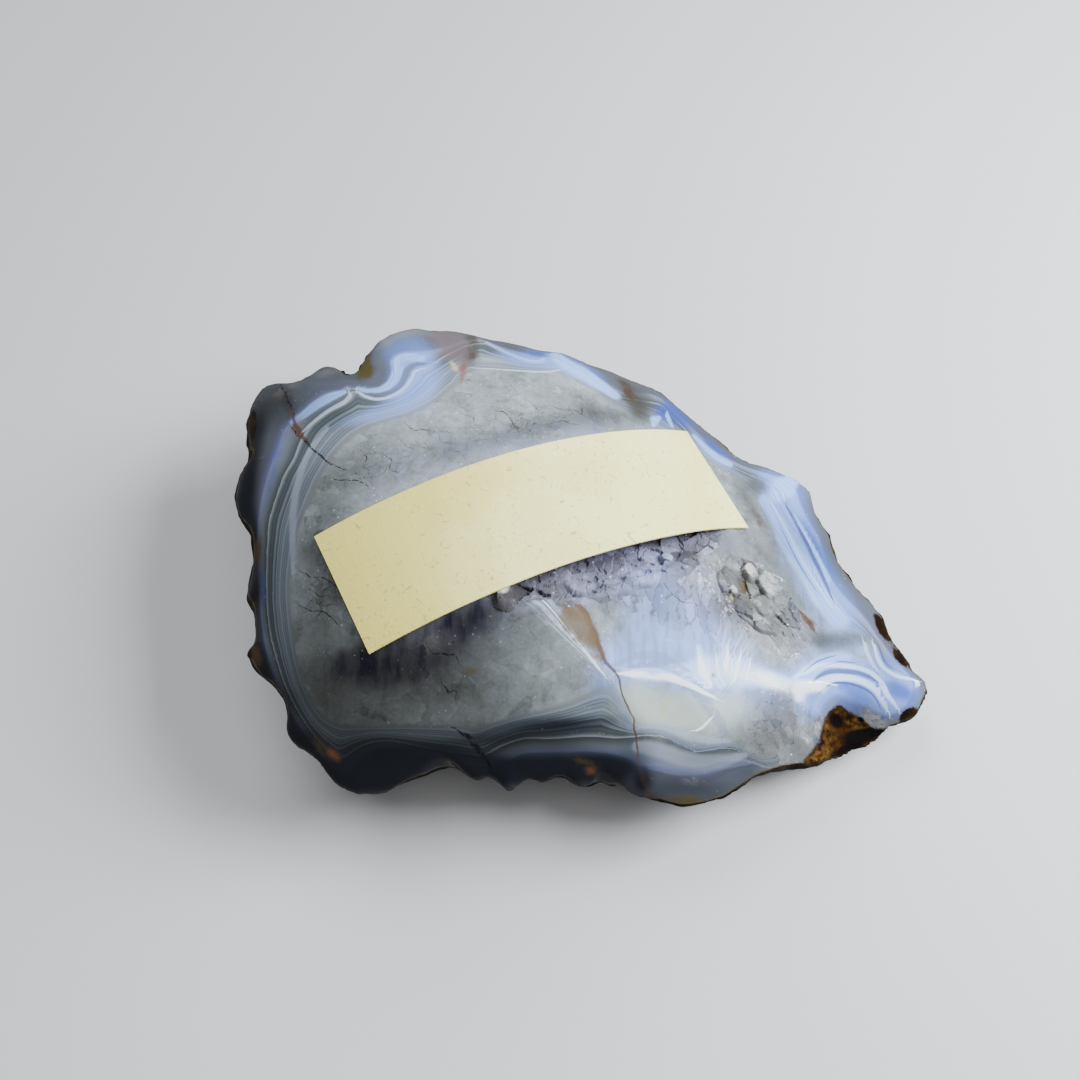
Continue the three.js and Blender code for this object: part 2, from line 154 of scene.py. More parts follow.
# The inner side of the banded layer, where the clear quartz starts.
QUARTZ_EDGE = [
    (-46.2, -4), (-45, 0), (-43.9, 4), (-42.4, 8), (-41, 10.5), (-39, 13), (-36, 15.4),
    (-33, 16.7), (-30, 17.9), (-27, 19.7), (-25, 21.7), (-23.4, 23.8), (-22, 26), (-21.2, 28.5),
    (-19, 30.6), (-16, 31), (-12, 31), (-8, 31.3), (-4.5, 31.8), (-2, 31), (1, 29), (3.5, 27.2),
    (6, 25.8), (8.5, 25), (11, 24), (13, 23), (16, 22.5), (19, 21.5), (23, 19.8), (28, 18),
    (30.5, 15.5), (32.2, 13), (33, 10), (35, 5), (37.5, 1), (39, -2), (41, -6), (43, -10),
    (45.5, -11.9), (48.3, -12.6), (49.3, -14), (48.3, -16.2), (46, -15.2), (43.5, -15), (40, -17),
    (37, -20), (34.5, -24), (34.2, -27), (35, -30.5), (34.4, -32.6), (32, -34.4), (29, -35.9),
    (26.5, -35.9), (23, -34.6), (20, -34.8), (17, -35.3), (14, -34.4), (11, -33.6), (8.3, -33.6),
    (6.8, -32.6), (5, -30.4), (2.8, -29), (0, -29.6), (-4, -31.2), (-8, -32.4), (-12, -33.4),
    (-15.5, -34.3), (-17.8, -35), (-20, -34.7), (-25, -34.9), (-30, -35.2), (-36, -35.3),
    (-40, -34.4), (-42.4, -32), (-44, -28.6), (-45.3, -24.6), (-46.4, -19), (-47, -13),
    (-46.8, -8),
]
# Tints of the polished face, as soft dabs: x, y, half sizes, heading, strength.
TINTS = {
    "milk": [
        (14, -25, 13, 4.5, 0, 1), (22, -21, 9, 5, -40, 0.9), (24, -27, 8, 4, 20, 0.8),
        (12, -18, 9, 6, 0, 0.7), (4, -27, 6, 3, 40, 0.6), (38, -23, 8, 5, 45, 1),
        (47, -20, 8, 6, -30, 1), (54, -22, 5, 4, 0, 0.9), (38, 9, 5, 12, 12, 1),
        (43, -5, 5, 9, 25, 1), (24, 23, 6, 2.5, -40, 0.8), (16, -37, 11, 2.5, 0, 0.25),
        (-31, 35, 5, 8, 15, 0.9), (-10, 35, 8, 4, 0, 0.7), (12, -12, 5, 5, 0, 0.5),
        (38, 18, 5, 4, 0, 1), (-2, 36, 8, 4, -40, 1), (-29.5, 25, 5, 7, -20, 0.95),
        (-37, 18, 8, 2.6, 14, 0.6), (-34, 39.6, 4, 4, 0, 0.6),
    ],
    "pale": [
        (15, -31, 9, 3.4, 5, 0.95), (8, -30, 4, 3, 0, 0.7), (24, -29, 5, 3, 30, 0.6),
        (-17, 33.5, 4, 2, -10, 0.5), (0, 28.5, 5, 2, -30, 0.35),
    ],
    "chalky": [
        (-33, 42, 6, 2, 25, 0.65), (-27, 42, 4, 1.6, 0, 0.4), (-46, 31, 3.6, 1.8, 0, 0.5),
        (-51.5, 28.4, 3, 1.2, -10, 0.4), (-36, 38, 2, 4, -20, 0.35),
        (38.4, -29.6, 3.4, 0.9, 57, 0.8), (41.6, -25.3, 1.8, 0.7, 40, 0.6),
        (48.8, -26.6, 2.6, 1.1, -38, 0.9), (35.6, -31.6, 1.8, 4.4, 15, 0.95),
        (34.6, -35.6, 2.4, 1.6, 20, 0.9), (31, -37.6, 4, 1.1, 15, 0.8), (31, -31, 4, 4, 0, 0.35),
        (38.6, -13.6, 3, 1.2, 0, 0.3),
    ],
    # Painted glare: bright patches where the polished face mirrors the light, over the knob and the
    # milky zone.
    "glow": [
        (25, -24, 4.4, 1.4, 0, 0.6), (30.4, -24.2, 3.6, 1.5, -10, 0.9),
        (18.8, -24, 1.6, 2.4, 0, 0.6), (35, -25.4, 1.2, 1.8, 0, 0.7),
        (37.4, -23.8, 3.4, 1.1, 14, 1), (10, -26.5, 6, 0.8, 0, 0.6), (40, -19.6, 2, 0.6, 35, 0.3),
    ],
    "blue": [
        (-8, 37.5, 2.2, 1.5, 10, 0.95), (15.8, 29, 2.4, 4.5, -20, 0.95), (19, 29, 3, 2, -45, 0.7),
        (-52.4, 8, 1.2, 8, -4, 0.4), (-51.8, 14.6, 1, 4, -12, 0.3), (41.7, 5, 1.7, 8, 20, 0.9),
        (46.5, -23.6, 4, 1.5, -18, 0.7), (53.8, -22.4, 3, 1.8, -10, 0.95),
        (-52, -13, 0.8, 5, 8, 0.6), (2.6, 34.4, 3, 1, -45, 0.5), (24.6, 23.6, 4, 1.4, -42, 0.9),
        (45, -21.6, 6, 1.6, 0, 0.8), (52.8, -17, 2, 2.4, 30, 0.5),
    ],
    "slate": [
        (32.2, 17, 2.4, 2.2, 20, 0.95), (30, 13, 2, 4, 20, 0.5), (9, 33, 4, 4, 0, 0.8),
        (10.6, 27, 2.4, 5, -8, 0.95), (24, 29, 8, 1.6, -44, 0.9), (47.5, -12.2, 3, 0.9, -20, 0.5),
        (44.6, -13.2, 4.6, 1.4, -5, 0.7), (41, -14.8, 2.6, 1.4, 15, 0.5),
        (4, 36.4, 4, 1.4, -28, 0.6), (20, 31, 4, 1.6, -40, 0.7), (-12, 38.4, 3, 1, -30, 0.6),
        (40, -14, 4, 2, 0, 0.3), (28, 14, 3, 8, 25, 0.35), (-20, 35, 1.8, 3, 5, 0.7),
        (-54, 25, 4, 5, 0, 0.7), (33, 1, 3, 6, 0, 0.3), (25, -13, 3, 3, 0, 0.4),
        (5, 22, 5, 3, 28, 0.4),
    ],
    "smoke": [
        (-28, -41, 13, 3, 0, 1), (-22, -39, 16, 1.7, -4, 1), (-6, -39.6, 13, 2.2, 5, 0.95),
        (-57, 6, 2.2, 12, 0, 0.9), (-57, 20, 2.6, 6, 0, 0.6), (-55, -3, 1.6, 6, 10, 0.9),
        (-53.4, -14, 1.3, 6, 0, 0.9), (-52, -24, 2, 6, 25, 0.95), (-48.6, -31, 2.2, 6, 35, 0.95),
        (-43.6, -38, 5, 2.4, -45, 0.95), (3, -39.3, 6, 2, 0, 0.85), (-37, -41, 5, 2, 0, 0.9),
        (-5, -34, 11, 1.3, 6, 0.75), (-16, -36.3, 8, 0.9, 5, 0.5), (8.6, -41, 1.6, 1.6, 0, 0.8),
    ],
    "violet": [
        (-29, -26.5, 8, 3, 8, 1), (-21, -22.8, 5.5, 3, 30, 1), (-35.5, -27.5, 4, 2, 0, 0.9),
        (-15.4, -20, 3, 2.5, 30, 0.8), (-31, -29.5, 5, 2, 0, 0.4), (-10, -16.6, 3, 2, 30, 0.5),
    ],
    "lilac": [
        (2, -8, 18, 6, 26, 1), (18, 0, 8, 4, 20, 0.8), (12.5, -9, 6, 6, 25, 0.7),
        (20, -11, 5, 4, 0, 0.4), (-1.5, -14.5, 3, 3.5, 20, 0.7), (-8, -15, 5, 3, 35, 0.4),
        (17, -2, 3, 2, 25, 0.6), (-15, 10, 12, 4, 28, 0.7), (3, 17, 9, 4, 28, 0.6),
        (-29, 6, 8, 3, 28, 0.4), (7, -12, 6, 3, 10, 0.5),
    ],
    # Painted shade, with the stone's own darker tone in the lower left; the finishes multiply the
    # color by it.
    "dusk": [
        (-30, -37, 30, 5, 0, 0.85), (-41, -30, 13, 9, -35, 0.8), (-28, -28, 16, 6, 6, 0.85),
        (-51, -10, 6, 22, 0, 0.35), (-10, -36, 16, 3, 6, 0.7), (-57, 5, 3.5, 20, 0, 0.6),
        (-22, -31, 14, 4, 0, 0.6), (-54, -18, 5, 14, 0, 0.6), (-19, -22, 7, 4, 30, 0.75),
        (15, -41.5, 14, 2.4, 0, 0.6), (-41, -15, 6, 9, 0, 0.65), (-50, 23, 8, 9, 0, 0.45),
        (-44, 31, 6, 3, 0, 0.3), (-38, 5, 8, 6, 0, 0.4), (-12, -22.5, 7, 4, 20, 0.35),
        (-48, 2, 6, 9, 0, 0.25), (47, -29, 9, 4, 20, 0.5), (40, -33, 6, 3, 30, 0.5),
        (8, 31, 3, 6, 0, 0.25), (-9, -16, 3, 2.4, 30, 0.4), (19, -37.4, 8, 2.4, 0, 0.5),
        (32, 1, 6, 9, 15, 0.4), (40, -13, 5, 3, 0, 0.35), (29, -33, 7, 4, 30, 0.45),
        (24, -13, 4, 3, 0, 0.4), (33, -16, 4, 3, 0, 0.2), (-43, -5, 4, 8, 0, 0.15),
        (-55, 25, 3, 5, 0, 0.4), (4, 21, 5, 3, 28, 0.2), (10.5, 28, 2.6, 6, -8, 0.5),
        (44.5, 3, 2, 8, 20, 0.25), (-12, 13.4, 15, 2, 27, 0.35), (-6, 17, 12, 3, 27, 0.35),
        (-24, 9, 5, 3, 20, 0.3), (-8, -13.2, 6, 1.6, 27, 0.6), (5, -7, 7, 1.7, 25, 0.85),
        (16, -2.4, 8, 1.5, 22, 0.45), (-6.6, -17, 3, 2.4, 30, 0.45), (24, -10, 3, 5, 0, 0.25),
        (34, -9, 3, 5, 0, 0.2), (24, -2, 6, 4, 15, 0.35), (-42, -5, 4, 8, 0, 0.4),
        (-38, 6, 6, 5, 0, 0.3), (-18, -27, 8, 4, 20, 0.35), (-41, -21, 4, 5, 0, 0.4),
        (28, -34, 4, 3, 0, 0.3), (-28, -30, 12, 3, 0, 0.4), (2, 22, 4, 3, 20, 0.4),
        (30, 13, 4, 6, 10, 0.3), (40, 5, 2, 10, 20, 0.2), (-54, 24, 3, 4, 0, 0.35),
        (8, -37, 3, 2, 0, 0.4), (1, 22, 5, 4, 20, 0.3), (17, 29, 5, 4, -40, 0.35),
        (52, -19, 4, 4, 0, 0.25), (-11, -17, 4, 2, 30, 0.6), (36, 6, 3, 8, 15, 0.35),
        (-42, 18, 4, 3, 30, 0.35), (-12, 37, 4, 2, -20, 0.35), (24, 24, 5, 2, -40, 0.3),
        (36, -3, 3, 6, 20, 0.3), (40, -14, 3, 3, 0, 0.35), (31, -31, 5, 5, 60, 0.35),
        (-5, -37, 8, 1.6, 5, 0.6), (-52, 25, 4.6, 0.9, -68, 0.75), (5, -8.4, 5, 1.4, 25, 0.4),
        (24, -13, 3, 2, 0, 0.25), (16, -41, 5, 1.2, 0, 0.3),
    ],
    "rind_spot": [
        (52.6, -10.3, 3.4, 1.5, -70, 1), (55.2, -15.8, 2.2, 1.5, -60, 1),
        (55, -26, 2.4, 1.1, 30, 1), (-57.8, 20.8, 4.4, 0.9, 98, 1),
        (-54, -23.4, 2.4, 1.1, 70, 0.8),
    ],
    "brown": [
        (8.6, 30.6, 1.6, 3.6, 0, 0.8), (-38, 30.4, 0.5, 0.9, 0, 0.7), (32, 9, 1.6, 3.4, 12, 0.6),
        (34, 4.6, 1.2, 2, 20, 0.4), (-53.5, -6, 1, 2.4, 0, 0.9), (-53, -23.5, 1.8, 3, 20, 0.85),
        (27.2, -7, 0.9, 2.2, -5, 0.95), (-41.5, -37.5, 2, 1, -40, 0.6),
        (-19.8, 35.4, 1.7, 3, 5, 0.6), (10.6, 27, 2, 5, -8, 0.35), (28.3, -3, 1.2, 0.4, 25, 0.8),
        (20.3, -24.8, 0.45, 0.4, 0, 0.95), (7.5, 34, 2, 1.2, -20, 0.5),
    ],
    "olive": [
        (-38.4, 30, 1.9, 2.2, 0, 1), (-38.6, 32.6, 1.2, 3, 5, 0.9), (-38.8, 35.6, 0.7, 2, -8, 0.8),
        (-19.8, 40, 1.8, 3.4, 15, 0.7), (16, -43, 4, 0.9, 0, 0.8), (-18, -28, 1.4, 0.6, 0, 0.6),
        (-25, 9, 1.4, 2, 20, 0.45), (-0.5, -38.4, 3, 0.6, -12, 0.5), (24.4, -11, 0.6, 1.2, 0, 0.5),
        (-30, 9, 1.2, 2, 0, 0.25),
    ],
    "rust": [
        (-2.6, -19.2, 1.8, 1.2, -20, 0.75), (0.8, -22.6, 0.9, 2.6, 33, 0.8),
        (-39.4, -38.6, 1.6, 0.8, -30, 0.7), (0.5, -39.4, 1.4, 0.8, 0, 0.6),
        (39.4, -10.4, 1.2, 0.9, -40, 0.7), (36.5, -8, 2, 0.5, -35, 0.5),
        (-49.4, 17.2, 0.8, 2.2, 25, 0.7),
    ],
    "grime": [
        (27, -7.2, 1.4, 2.6, -5, 0.9), (24.6, -10.8, 1, 1.6, 0, 0.6),
        (28.6, -2.8, 1.6, 0.7, 25, 0.7), (32, -14, 3, 2.4, 0, 0.5), (24, -22, 2.4, 1, 0, 0.2),
        (33, -30, 2.4, 3, 0, 0.4), (33, 8, 2, 4, 12, 0.5), (38.6, -10, 2, 1, -35, 0.5),
    ],
    "pink": [
        (-23.5, 38.4, 3.6, 6, 14, 1), (-20.6, 34.5, 1.8, 3, 5, 0.8), (-26.5, 42, 3, 2.4, 0, 0.4),
        (-1.8, -21.6, 1.8, 2.4, 35, 0.5), (-48.8, 18.5, 1.6, 4, 25, 0.5),
        (-53.5, 27, 2, 3, 20, 0.35),
    ],
    "salmon": [
        (-21.1, 31, 0.8, 2.2, 3, 0.9), (-21.2, 28, 0.4, 1.6, 6, 0.8),
        (-21, 33.4, 1.1, 0.9, 0, 0.3),
    ],
    "cream": [
        (-22.8, 31.6, 0.6, 2, 22, 0.95), (-18.5, 40.6, 0.9, 2.4, 12, 0.45),
        (12.2, -30.4, 0.45, 1.6, -12, 0.7), (11.6, -32.4, 0.35, 0.9, 0, 0.6),
        (-13.6, -15.9, 1.5, 1.7, -15, 1), (24.4, -10.6, 0.5, 1, 0, 0.6),
    ],
    "amber": [
        (37.6, -34.6, 2, 0.7, 30, 0.9), (46.6, -27.6, 2, 0.8, -20, 0.8),
        (40.4, -28, 0.6, 1.6, 0, 0.7), (39.4, -32.8, 2.4, 1.2, 40, 0.5),
        (40.4, -29.6, 1.2, 1.6, 20, 0.2), (46, -26.6, 2, 0.5, -10, 0.5),
    ],
    # Painted shade in the pocket's hole and along its lower side.
    "soot": [
        (42.4, -27.4, 1.5, 1.2, 0, 0.95), (47, -29.2, 4, 1.2, 12, 0.95),
        (44, -31.8, 5, 1, 30, 0.7), (47, -26.6, 0.8, 0.6, 0, 0.8),
    ],
    "grain": [
        (8, -5, 14, 4.5, 26, 0.95), (30, -8, 7, 6.5, -20, 1), (31, -31, 6, 6, 60, 1),
        (38.4, -29.6, 3.4, 1, 57, 0.7), (48.8, -26.6, 2.8, 1.2, -38, 0.9), (19, -8, 5, 5, 0, 0.7),
        (27, -14, 5, 4, 0, 0.7), (-23, -25, 5, 2.5, 20, 0.7), (-36, 9, 5, 3.5, 10, 0.35),
        (34, -17, 4, 3.4, 0, 0.8), (16, -40.4, 3, 1, 0, 0.4), (36, -12, 3.4, 4, 30, 0.6),
        (34, -27, 2, 3, 0, 0.6),
    ],
    "columns": [
        (-5, -14, 8, 4.5, 22, 1), (13, -11, 7, 7, 0, 1), (5, -12, 6, 5, 0, 1),
        (21, -13, 6, 6, 0, 0.9),
    ],
    "torn": [
        (-34, 6.5, 6, 4, 20, 1), (-10, 18, 9, 5, 25, 0.8), (-41, -16, 4, 6, 0, 0.9),
        (0, 21, 6, 4, 0, 0.5), (-24, -25, 6, 4, 10, 0.6), (30, -13, 5, 4, 0, 0.8),
        (6, -7, 12, 4, 26, 0.8), (-23, 11, 6, 4, 20, 1), (-14, 14, 5, 4, 27, 0.6),
        (32, -31, 4, 4, 0, 0.5),
    ],
}
# Wide soft strokes as lines of x, y and half width.
SWEEPS = {
    "ivory": [
        [(7.6, -36.4, 0.7), (11, -36.6, 1.1), (16, -37.6, 1.1), (21, -37.4, 0.9),
         (25.4, -36, 0.4)],
        [(8, -33.8, 0.3), (12, -33.4, 0.5), (16, -34.2, 0.6), (20, -34.6, 0.5), (23, -34.2, 0.3)],
        [(-46.6, -12, 0.3), (-47.4, -4, 0.6), (-47.6, 4, 0.7), (-46.4, 11, 0.6),
         (-43.6, 16.4, 0.4)],
    ],
    "white": [
        [(-50, 19.4, 0.8), (-47.8, 21, 1.1), (-45.4, 23, 1.3), (-43.4, 24.4, 1.1),
         (-41.8, 25, 0.7)],
        [(-39.6, 25.9, 0.3), (-37.4, 24.8, 0.6), (-35, 25, 0.9), (-33.3, 27, 1), (-32.7, 30, 1),
         (-32.9, 33, 1.1), (-31.4, 34.2, 1.3), (-29, 33.7, 1)],
        [(-17.4, 39.6, 0.3), (-14.6, 37.2, 0.45), (-12, 35.4, 0.55), (-9.4, 34.4, 0.6),
         (-7.4, 34.8, 0.6), (-6.8, 36, 0.4)],
        [(-4.4, 39.6, 1), (-3.4, 36.4, 1.8), (-0.6, 33.6, 2), (2.4, 31.2, 1.8), (5.8, 28.7, 1.2)],
        [(12.8, 23.4, 0.4), (13.2, 25.2, 0.8), (14.2, 26.6, 0.4)],
        [(16, 29.6, 0.2), (16, 27.6, 0.5), (16.6, 25.4, 0.3)],
        [(21, 25.6, 0.5), (24.4, 22.4, 0.8), (27.4, 20.8, 0.7)],
        [(39.6, 19.4, 1.2), (37.6, 17.4, 2.2), (36, 15.2, 1.6)],
        [(33.4, 13.6, 1.2), (35, 10, 1.4), (36.8, 5, 1.7), (39.4, 0, 1.8), (42, -5, 1.9),
         (44.6, -9.4, 1.8)],
        [(38.6, 11, 0.4), (40.4, 7, 0.4), (42.3, 2, 0.45), (43.6, -2, 0.5)],
        [(35.4, -24.8, 1.4), (34.9, -27, 1.1), (35.4, -29.4, 0.6)],
        [(34.4, -24, 1), (36.6, -21.8, 1.2), (39.4, -19, 1.1), (42.4, -16.8, 0.9),
         (45.6, -16.2, 0.6)],
        # The last three strokes are painted highlights: glare on the milky zone.
        [(18, -20.6, 0.4), (18.6, -23.6, 1.2), (19.4, -26.6, 0.8)],
        [(22.8, -19.6, 0.3), (22.4, -22.6, 0.9), (21.6, -25.6, 0.8)],
        [(32, -24, 1.4), (28.5, -23.8, 2), (24, -23.6, 2.6), (19, -24.4, 2), (14, -25.6, 1.3),
         (7, -26.6, 0.8)],
    ],
}
# Veins as lines of x, y and half width. Neighbours in a list are drawn in opposite ways, so
# that the ground between them is on the same side of both.
VEINS = {
    "rust_vein": [
        [(-2, -18.2, 0.2), (-0.8, -18.5, 0.4), (0.5, -20.6, 0.45), (1.5, -22.8, 0.4),
         (2.4, -25, 0.28), (4.4, -27.4, 0.15), (5.6, -30, 0.12), (6.9, -32.7, 0.12),
         (7.5, -35, 0.14), (7.7, -37.5, 0.16), (8.6, -40, 0.3), (9.8, -42, 0.3)],
        [(-51, 22.4, 0.12), (-50, 19.6, 0.25), (-48.8, 16.6, 0.4), (-47.4, 14.6, 0.2)],
        [(33.2, -6.4, 0.1), (35.8, -7.2, 0.22), (37.8, -8.9, 0.32), (39.2, -10.6, 0.5),
         (40, -12, 0.2)],
    ],
    "dark_crack": [
        [(-53.9, 29.4, 0.05), (-52.6, 26.6, 0.09), (-51, 23.2, 0.07), (-50.2, 21, 0.04)],
        [(-51.2, 19.6, 0.06), (-49.8, 17.2, 0.1), (-48.2, 15.2, 0.14), (-46, 12.4, 0.17),
         (-43.4, 9.4, 0.17), (-41.6, 7.4, 0.12), (-39.8, 6.2, 0.07)],
        [(-41.6, 4.4, 0.042), (-39.8, 3.7, 0.098), (-38, 3.6, 0.07), (-36.4, 2.8, 0.112),
         (-35, 1.6, 0.056)],
        [(-37, 9.8, 0.035), (-36, 8.2, 0.084), (-36.6, 6.4, 0.049), (-35.4, 5, 0.035)],
        [(-33.2, 8.6, 0.035), (-31.6, 7, 0.084), (-31.9, 5.4, 0.084), (-30.4, 4.2, 0.035)],
        [(-30.4, 11.4, 0.035), (-29.5, 9.8, 0.091), (-28.4, 9.4, 0.049)],
        [(-15.4, 19.6, 0.028), (-13.6, 19, 0.07), (-12.4, 17.4, 0.084), (-11.8, 15.8, 0.035)],
        [(-9.4, 22.4, 0.028), (-8.2, 21.4, 0.07), (-7.8, 20, 0.07), (-6.4, 19.4, 0.028)],
        [(-5.4, 22.2, 0.028), (-3.8, 21.2, 0.07), (-1.4, 21.4, 0.07), (0.4, 20.4, 0.035)],
        [(-13.8, 25.6, 0.028), (-12.4, 26, 0.056), (-11.6, 25, 0.028)],
        [(-45.4, -11.6, 0.028), (-43.4, -13.4, 0.07), (-41.4, -13.8, 0.084),
         (-39.6, -15.4, 0.042)],
        [(-45, -17.4, 0.028), (-42.8, -18.8, 0.07), (-40.6, -19.4, 0.084), (-38.4, -21.6, 0.042)],
        [(-43.8, -15, 0.028), (-42, -16.6, 0.056), (-40.2, -16.8, 0.035)],
        [(-20.6, -35.2, 0.084), (-18.8, -35.9, 0.21), (-17.2, -37.2, 0.28), (-15.4, -39.6, 0.21)],
        [(-30, 15.6, 0.05), (-28.6, 14, 0.1), (-27, 13.8, 0.07), (-25.6, 12.4, 0.04)],
        [(-20.6, 18.4, 0.04), (-19, 17.2, 0.08), (-18.6, 15.6, 0.07), (-17, 14.8, 0.04)],
        [(-5, 17.4, 0.04), (-3.2, 18.2, 0.08), (-1.2, 17.8, 0.06)],
        [(-24.6, -25.4, 0.035), (-23, -26.4, 0.084), (-20.8, -26, 0.07), (-19.6, -27.4, 0.035)],
        [(-22.4, -29.6, 0.042), (-21.6, -30.8, 0.084), (-20.6, -30.6, 0.07),
         (-20.4, -31.8, 0.035)],
        [(30.2, -11.8, 0.042), (31.2, -13.4, 0.14), (32, -14.6, 0.112), (33.6, -14.4, 0.035)],
        [(29.6, -14.6, 0.035), (30.8, -16, 0.084), (31.8, -17.4, 0.035)],
        [(25.4, -5.4, 0.035), (26.6, -7.6, 0.112), (26.4, -9.4, 0.07)],
        [(5, -11.6, 0.028), (8, -12.2, 0.063), (11.4, -11.2, 0.07), (14.6, -13.4, 0.056),
         (18, -13.8, 0.028)],
    ],
    # Painted glints: light caught by the polished ridges and by the fracture feathers, drawn as white
    # lines.
    "gleam": [
        [(-7.4, -18, 0.05), (-4.4, -20.6, 0.09), (-1.4, -23.4, 0.14), (1, -25.8, 0.2),
         (2.6, -27.4, 0.08)],
        [(-6, -18.6, 0.04), (-3.2, -20.9, 0.08), (-0.6, -23.6, 0.1), (1.6, -26.2, 0.08)],
        [(-4.8, -15.4, 0.04), (-4, -16.8, 0.08), (-3.2, -18.4, 0.04)],
        [(4.4, -27.1, 0.12), (6.6, -26.8, 0.32), (9, -26.5, 0.3), (10.4, -26.8, 0.2),
         (12.4, -26.4, 0.42), (15.4, -26.9, 0.4), (18, -27.6, 0.35), (20.6, -28.4, 0.1)],
        [(18, -21.6, 0.1), (18.3, -23, 0.4), (18.7, -24.8, 0.6), (19.8, -26.4, 0.25)],
        [(20.8, -21, 0.05), (21, -22.4, 0.12), (21.4, -24.6, 0.16)],
        [(23.2, -19.6, 0.05), (22.8, -21.8, 0.3), (22.2, -24.4, 0.3), (22, -25.6, 0.1)],
        [(25.4, -19.8, 0.05), (24.9, -21.8, 0.22), (24, -24.4, 0.24), (23.6, -25.4, 0.08)],
        [(27, -20.6, 0.04), (26.5, -22.4, 0.14), (25.8, -24.4, 0.1)],
        [(27.6, -23.4, 0.16), (29.2, -23.8, 0.4), (30.8, -24.6, 0.5), (31.6, -25, 0.2)],
        [(17, -33.5, 0.08), (18.6, -32.6, 0.16), (19.8, -31.3, 0.1)],
    ],
    "bright_arc": [
        [(34.6, -22.8, 0.2), (37, -21, 0.4), (40, -19, 0.4), (43, -18.1, 0.38), (46, -18, 0.36),
         (48.8, -18.9, 0.36), (50.4, -20.8, 0.4), (51.2, -23, 0.4), (52.8, -24.9, 0.2)],
        [(51.2, -25.4, 0.2), (50.4, -24, 0.4), (49.3, -22.2, 0.55), (47.2, -20.8, 0.6),
         (44.6, -20.4, 0.6), (42, -21.1, 0.6), (39.6, -22.5, 0.55), (37.8, -24, 0.4)],
        [(56.8, -19.8, 0.15), (54, -19.7, 0.3), (51.9, -18.7, 0.3), (50.7, -16.8, 0.3),
         (50.3, -14, 0.2)],
    ],
    "slate_line": [
        [(-37, 24.1, 0.2), (-35.4, 23.7, 0.35), (-33.4, 24.2, 0.5), (-31.9, 26, 0.5),
         (-31.2, 28.6, 0.5), (-30.8, 30.6, 0.6), (-29.6, 31.9, 0.5), (-28, 32, 0.3)],
        [(-48.4, 18.4, 0.3), (-46.6, 20, 0.5), (-44.6, 21.6, 0.5), (-42.4, 23.2, 0.4),
         (-41.4, 24.4, 0.2)],
    ],
    "navy": [
        [(37.4, 13, 0.15), (39.4, 8, 0.3), (41.3, 2.6, 0.35), (42.7, -1.6, 0.3),
         (43.8, -5.4, 0.12)],
        [(37.6, -23.2, 0.1), (39.4, -21.3, 0.22), (41.6, -19.8, 0.38), (44, -19.15, 0.42),
         (46.4, -19.1, 0.4), (48.4, -19.7, 0.34), (49.8, -20.8, 0.16)],
        [(50, -25, 0.06), (48.8, -23.3, 0.12), (46.6, -21.9, 0.15), (43.8, -21.6, 0.15),
         (41.2, -22.5, 0.13), (38.8, -24.6, 0.08)],
        [(36.6, -21.2, 0.05), (39.4, -18.4, 0.1), (42, -16.8, 0.1), (43.4, -16.2, 0.05)],
        [(46.6, -17.2, 0.05), (43.6, -17.3, 0.1), (40.8, -18.5, 0.1), (38.2, -20.8, 0.05)],
        [(51.2, -14.4, 0.05), (51.6, -16.6, 0.1), (52.6, -18, 0.08), (54.6, -18.8, 0.04)],
        [(36, 7.6, 0.06), (38.2, 1.6, 0.1), (41, -4, 0.08)],
    ],
    "grey_arc": [
        [(4.8, -25.4, 0.2), (8, -23.8, 0.5), (12, -23.3, 0.55), (15.8, -24.8, 0.3)],
        [(5.6, -26.4, 0.15), (8.4, -25.2, 0.3), (11.6, -24.9, 0.35), (14.6, -25.8, 0.2)],
        [(14.6, -26.6, 0.3), (17.8, -28.4, 0.8), (20.6, -31.2, 0.8), (22.6, -34, 0.4)],
        [(3.4, -28.6, 0.4), (5, -31, 0.8), (6.4, -33.6, 0.5)],
        [(8.4, -34.3, 0.2), (12, -34.2, 0.35), (15, -35.4, 0.4), (19, -35.6, 0.4),
         (22.6, -35, 0.2)],
        [(9.6, -38.8, 0.3), (14, -39.2, 0.4), (18, -38.9, 0.4), (22, -37.8, 0.4),
         (26.4, -36.9, 0.2)],
    ],
    "thin_white": [
        [(48.7, -13.7, 0.2), (48.9, -15.4, 0.3), (49.6, -17.4, 0.25), (50.4, -18.8, 0.1)],
        [(-39.2, 24.9, 0.2), (-37.6, 23.3, 0.28), (-35.2, 22.4, 0.32), (-32.9, 23.1, 0.3),
         (-31, 25.2, 0.28), (-30, 27.8, 0.25), (-29.6, 29.7, 0.25), (-28, 30.8, 0.16)],
        [(-48, 16.4, 0.2), (-46, 18.8, 0.3), (-43.6, 20.9, 0.36), (-41.5, 22.3, 0.4),
         (-40.6, 23.8, 0.3), (-40.8, 25.2, 0.12)],
        [(-19.6, 31.3, 0.08), (-15, 30.9, 0.16), (-10, 30.9, 0.16), (-6, 31.6, 0.2),
         (-4, 32.8, 0.12)],
        [(34.6, 13.4, 0.1), (36.4, 9, 0.14), (38.4, 3.4, 0.16), (40.6, -1.4, 0.16),
         (43.4, -6.6, 0.12)],
    ],
}
# How far a vein strays from its line, in millimetres. The others hardly do.
VEIN_SWAY = {"dark_crack": 0.45, "rust_vein": 0.3, "gleam": 0.12}
LEAST_SWAY = 0.04
# Feathery rays in the quartz: where they meet, and the soft dab in which they show.
FANS = [
    ((4.4, -28.6), (-3.2, -22.2, 7.5, 1.2, 140, 1)),
    ((17.5, -33), (23.4, -22.4, 4.6, 3, 72, 0.8)),
]
# A stain in a healed crack.
STAIN = [
    (-4.5, -19.8), (-3.4, -18.3), (-1.4, -17.8), (0.2, -18.9), (1.1, -21), (2, -23.3),
    (2.5, -25.3), (0.9, -24.7), (-1.3, -23.4), (-3.4, -21.6),
]
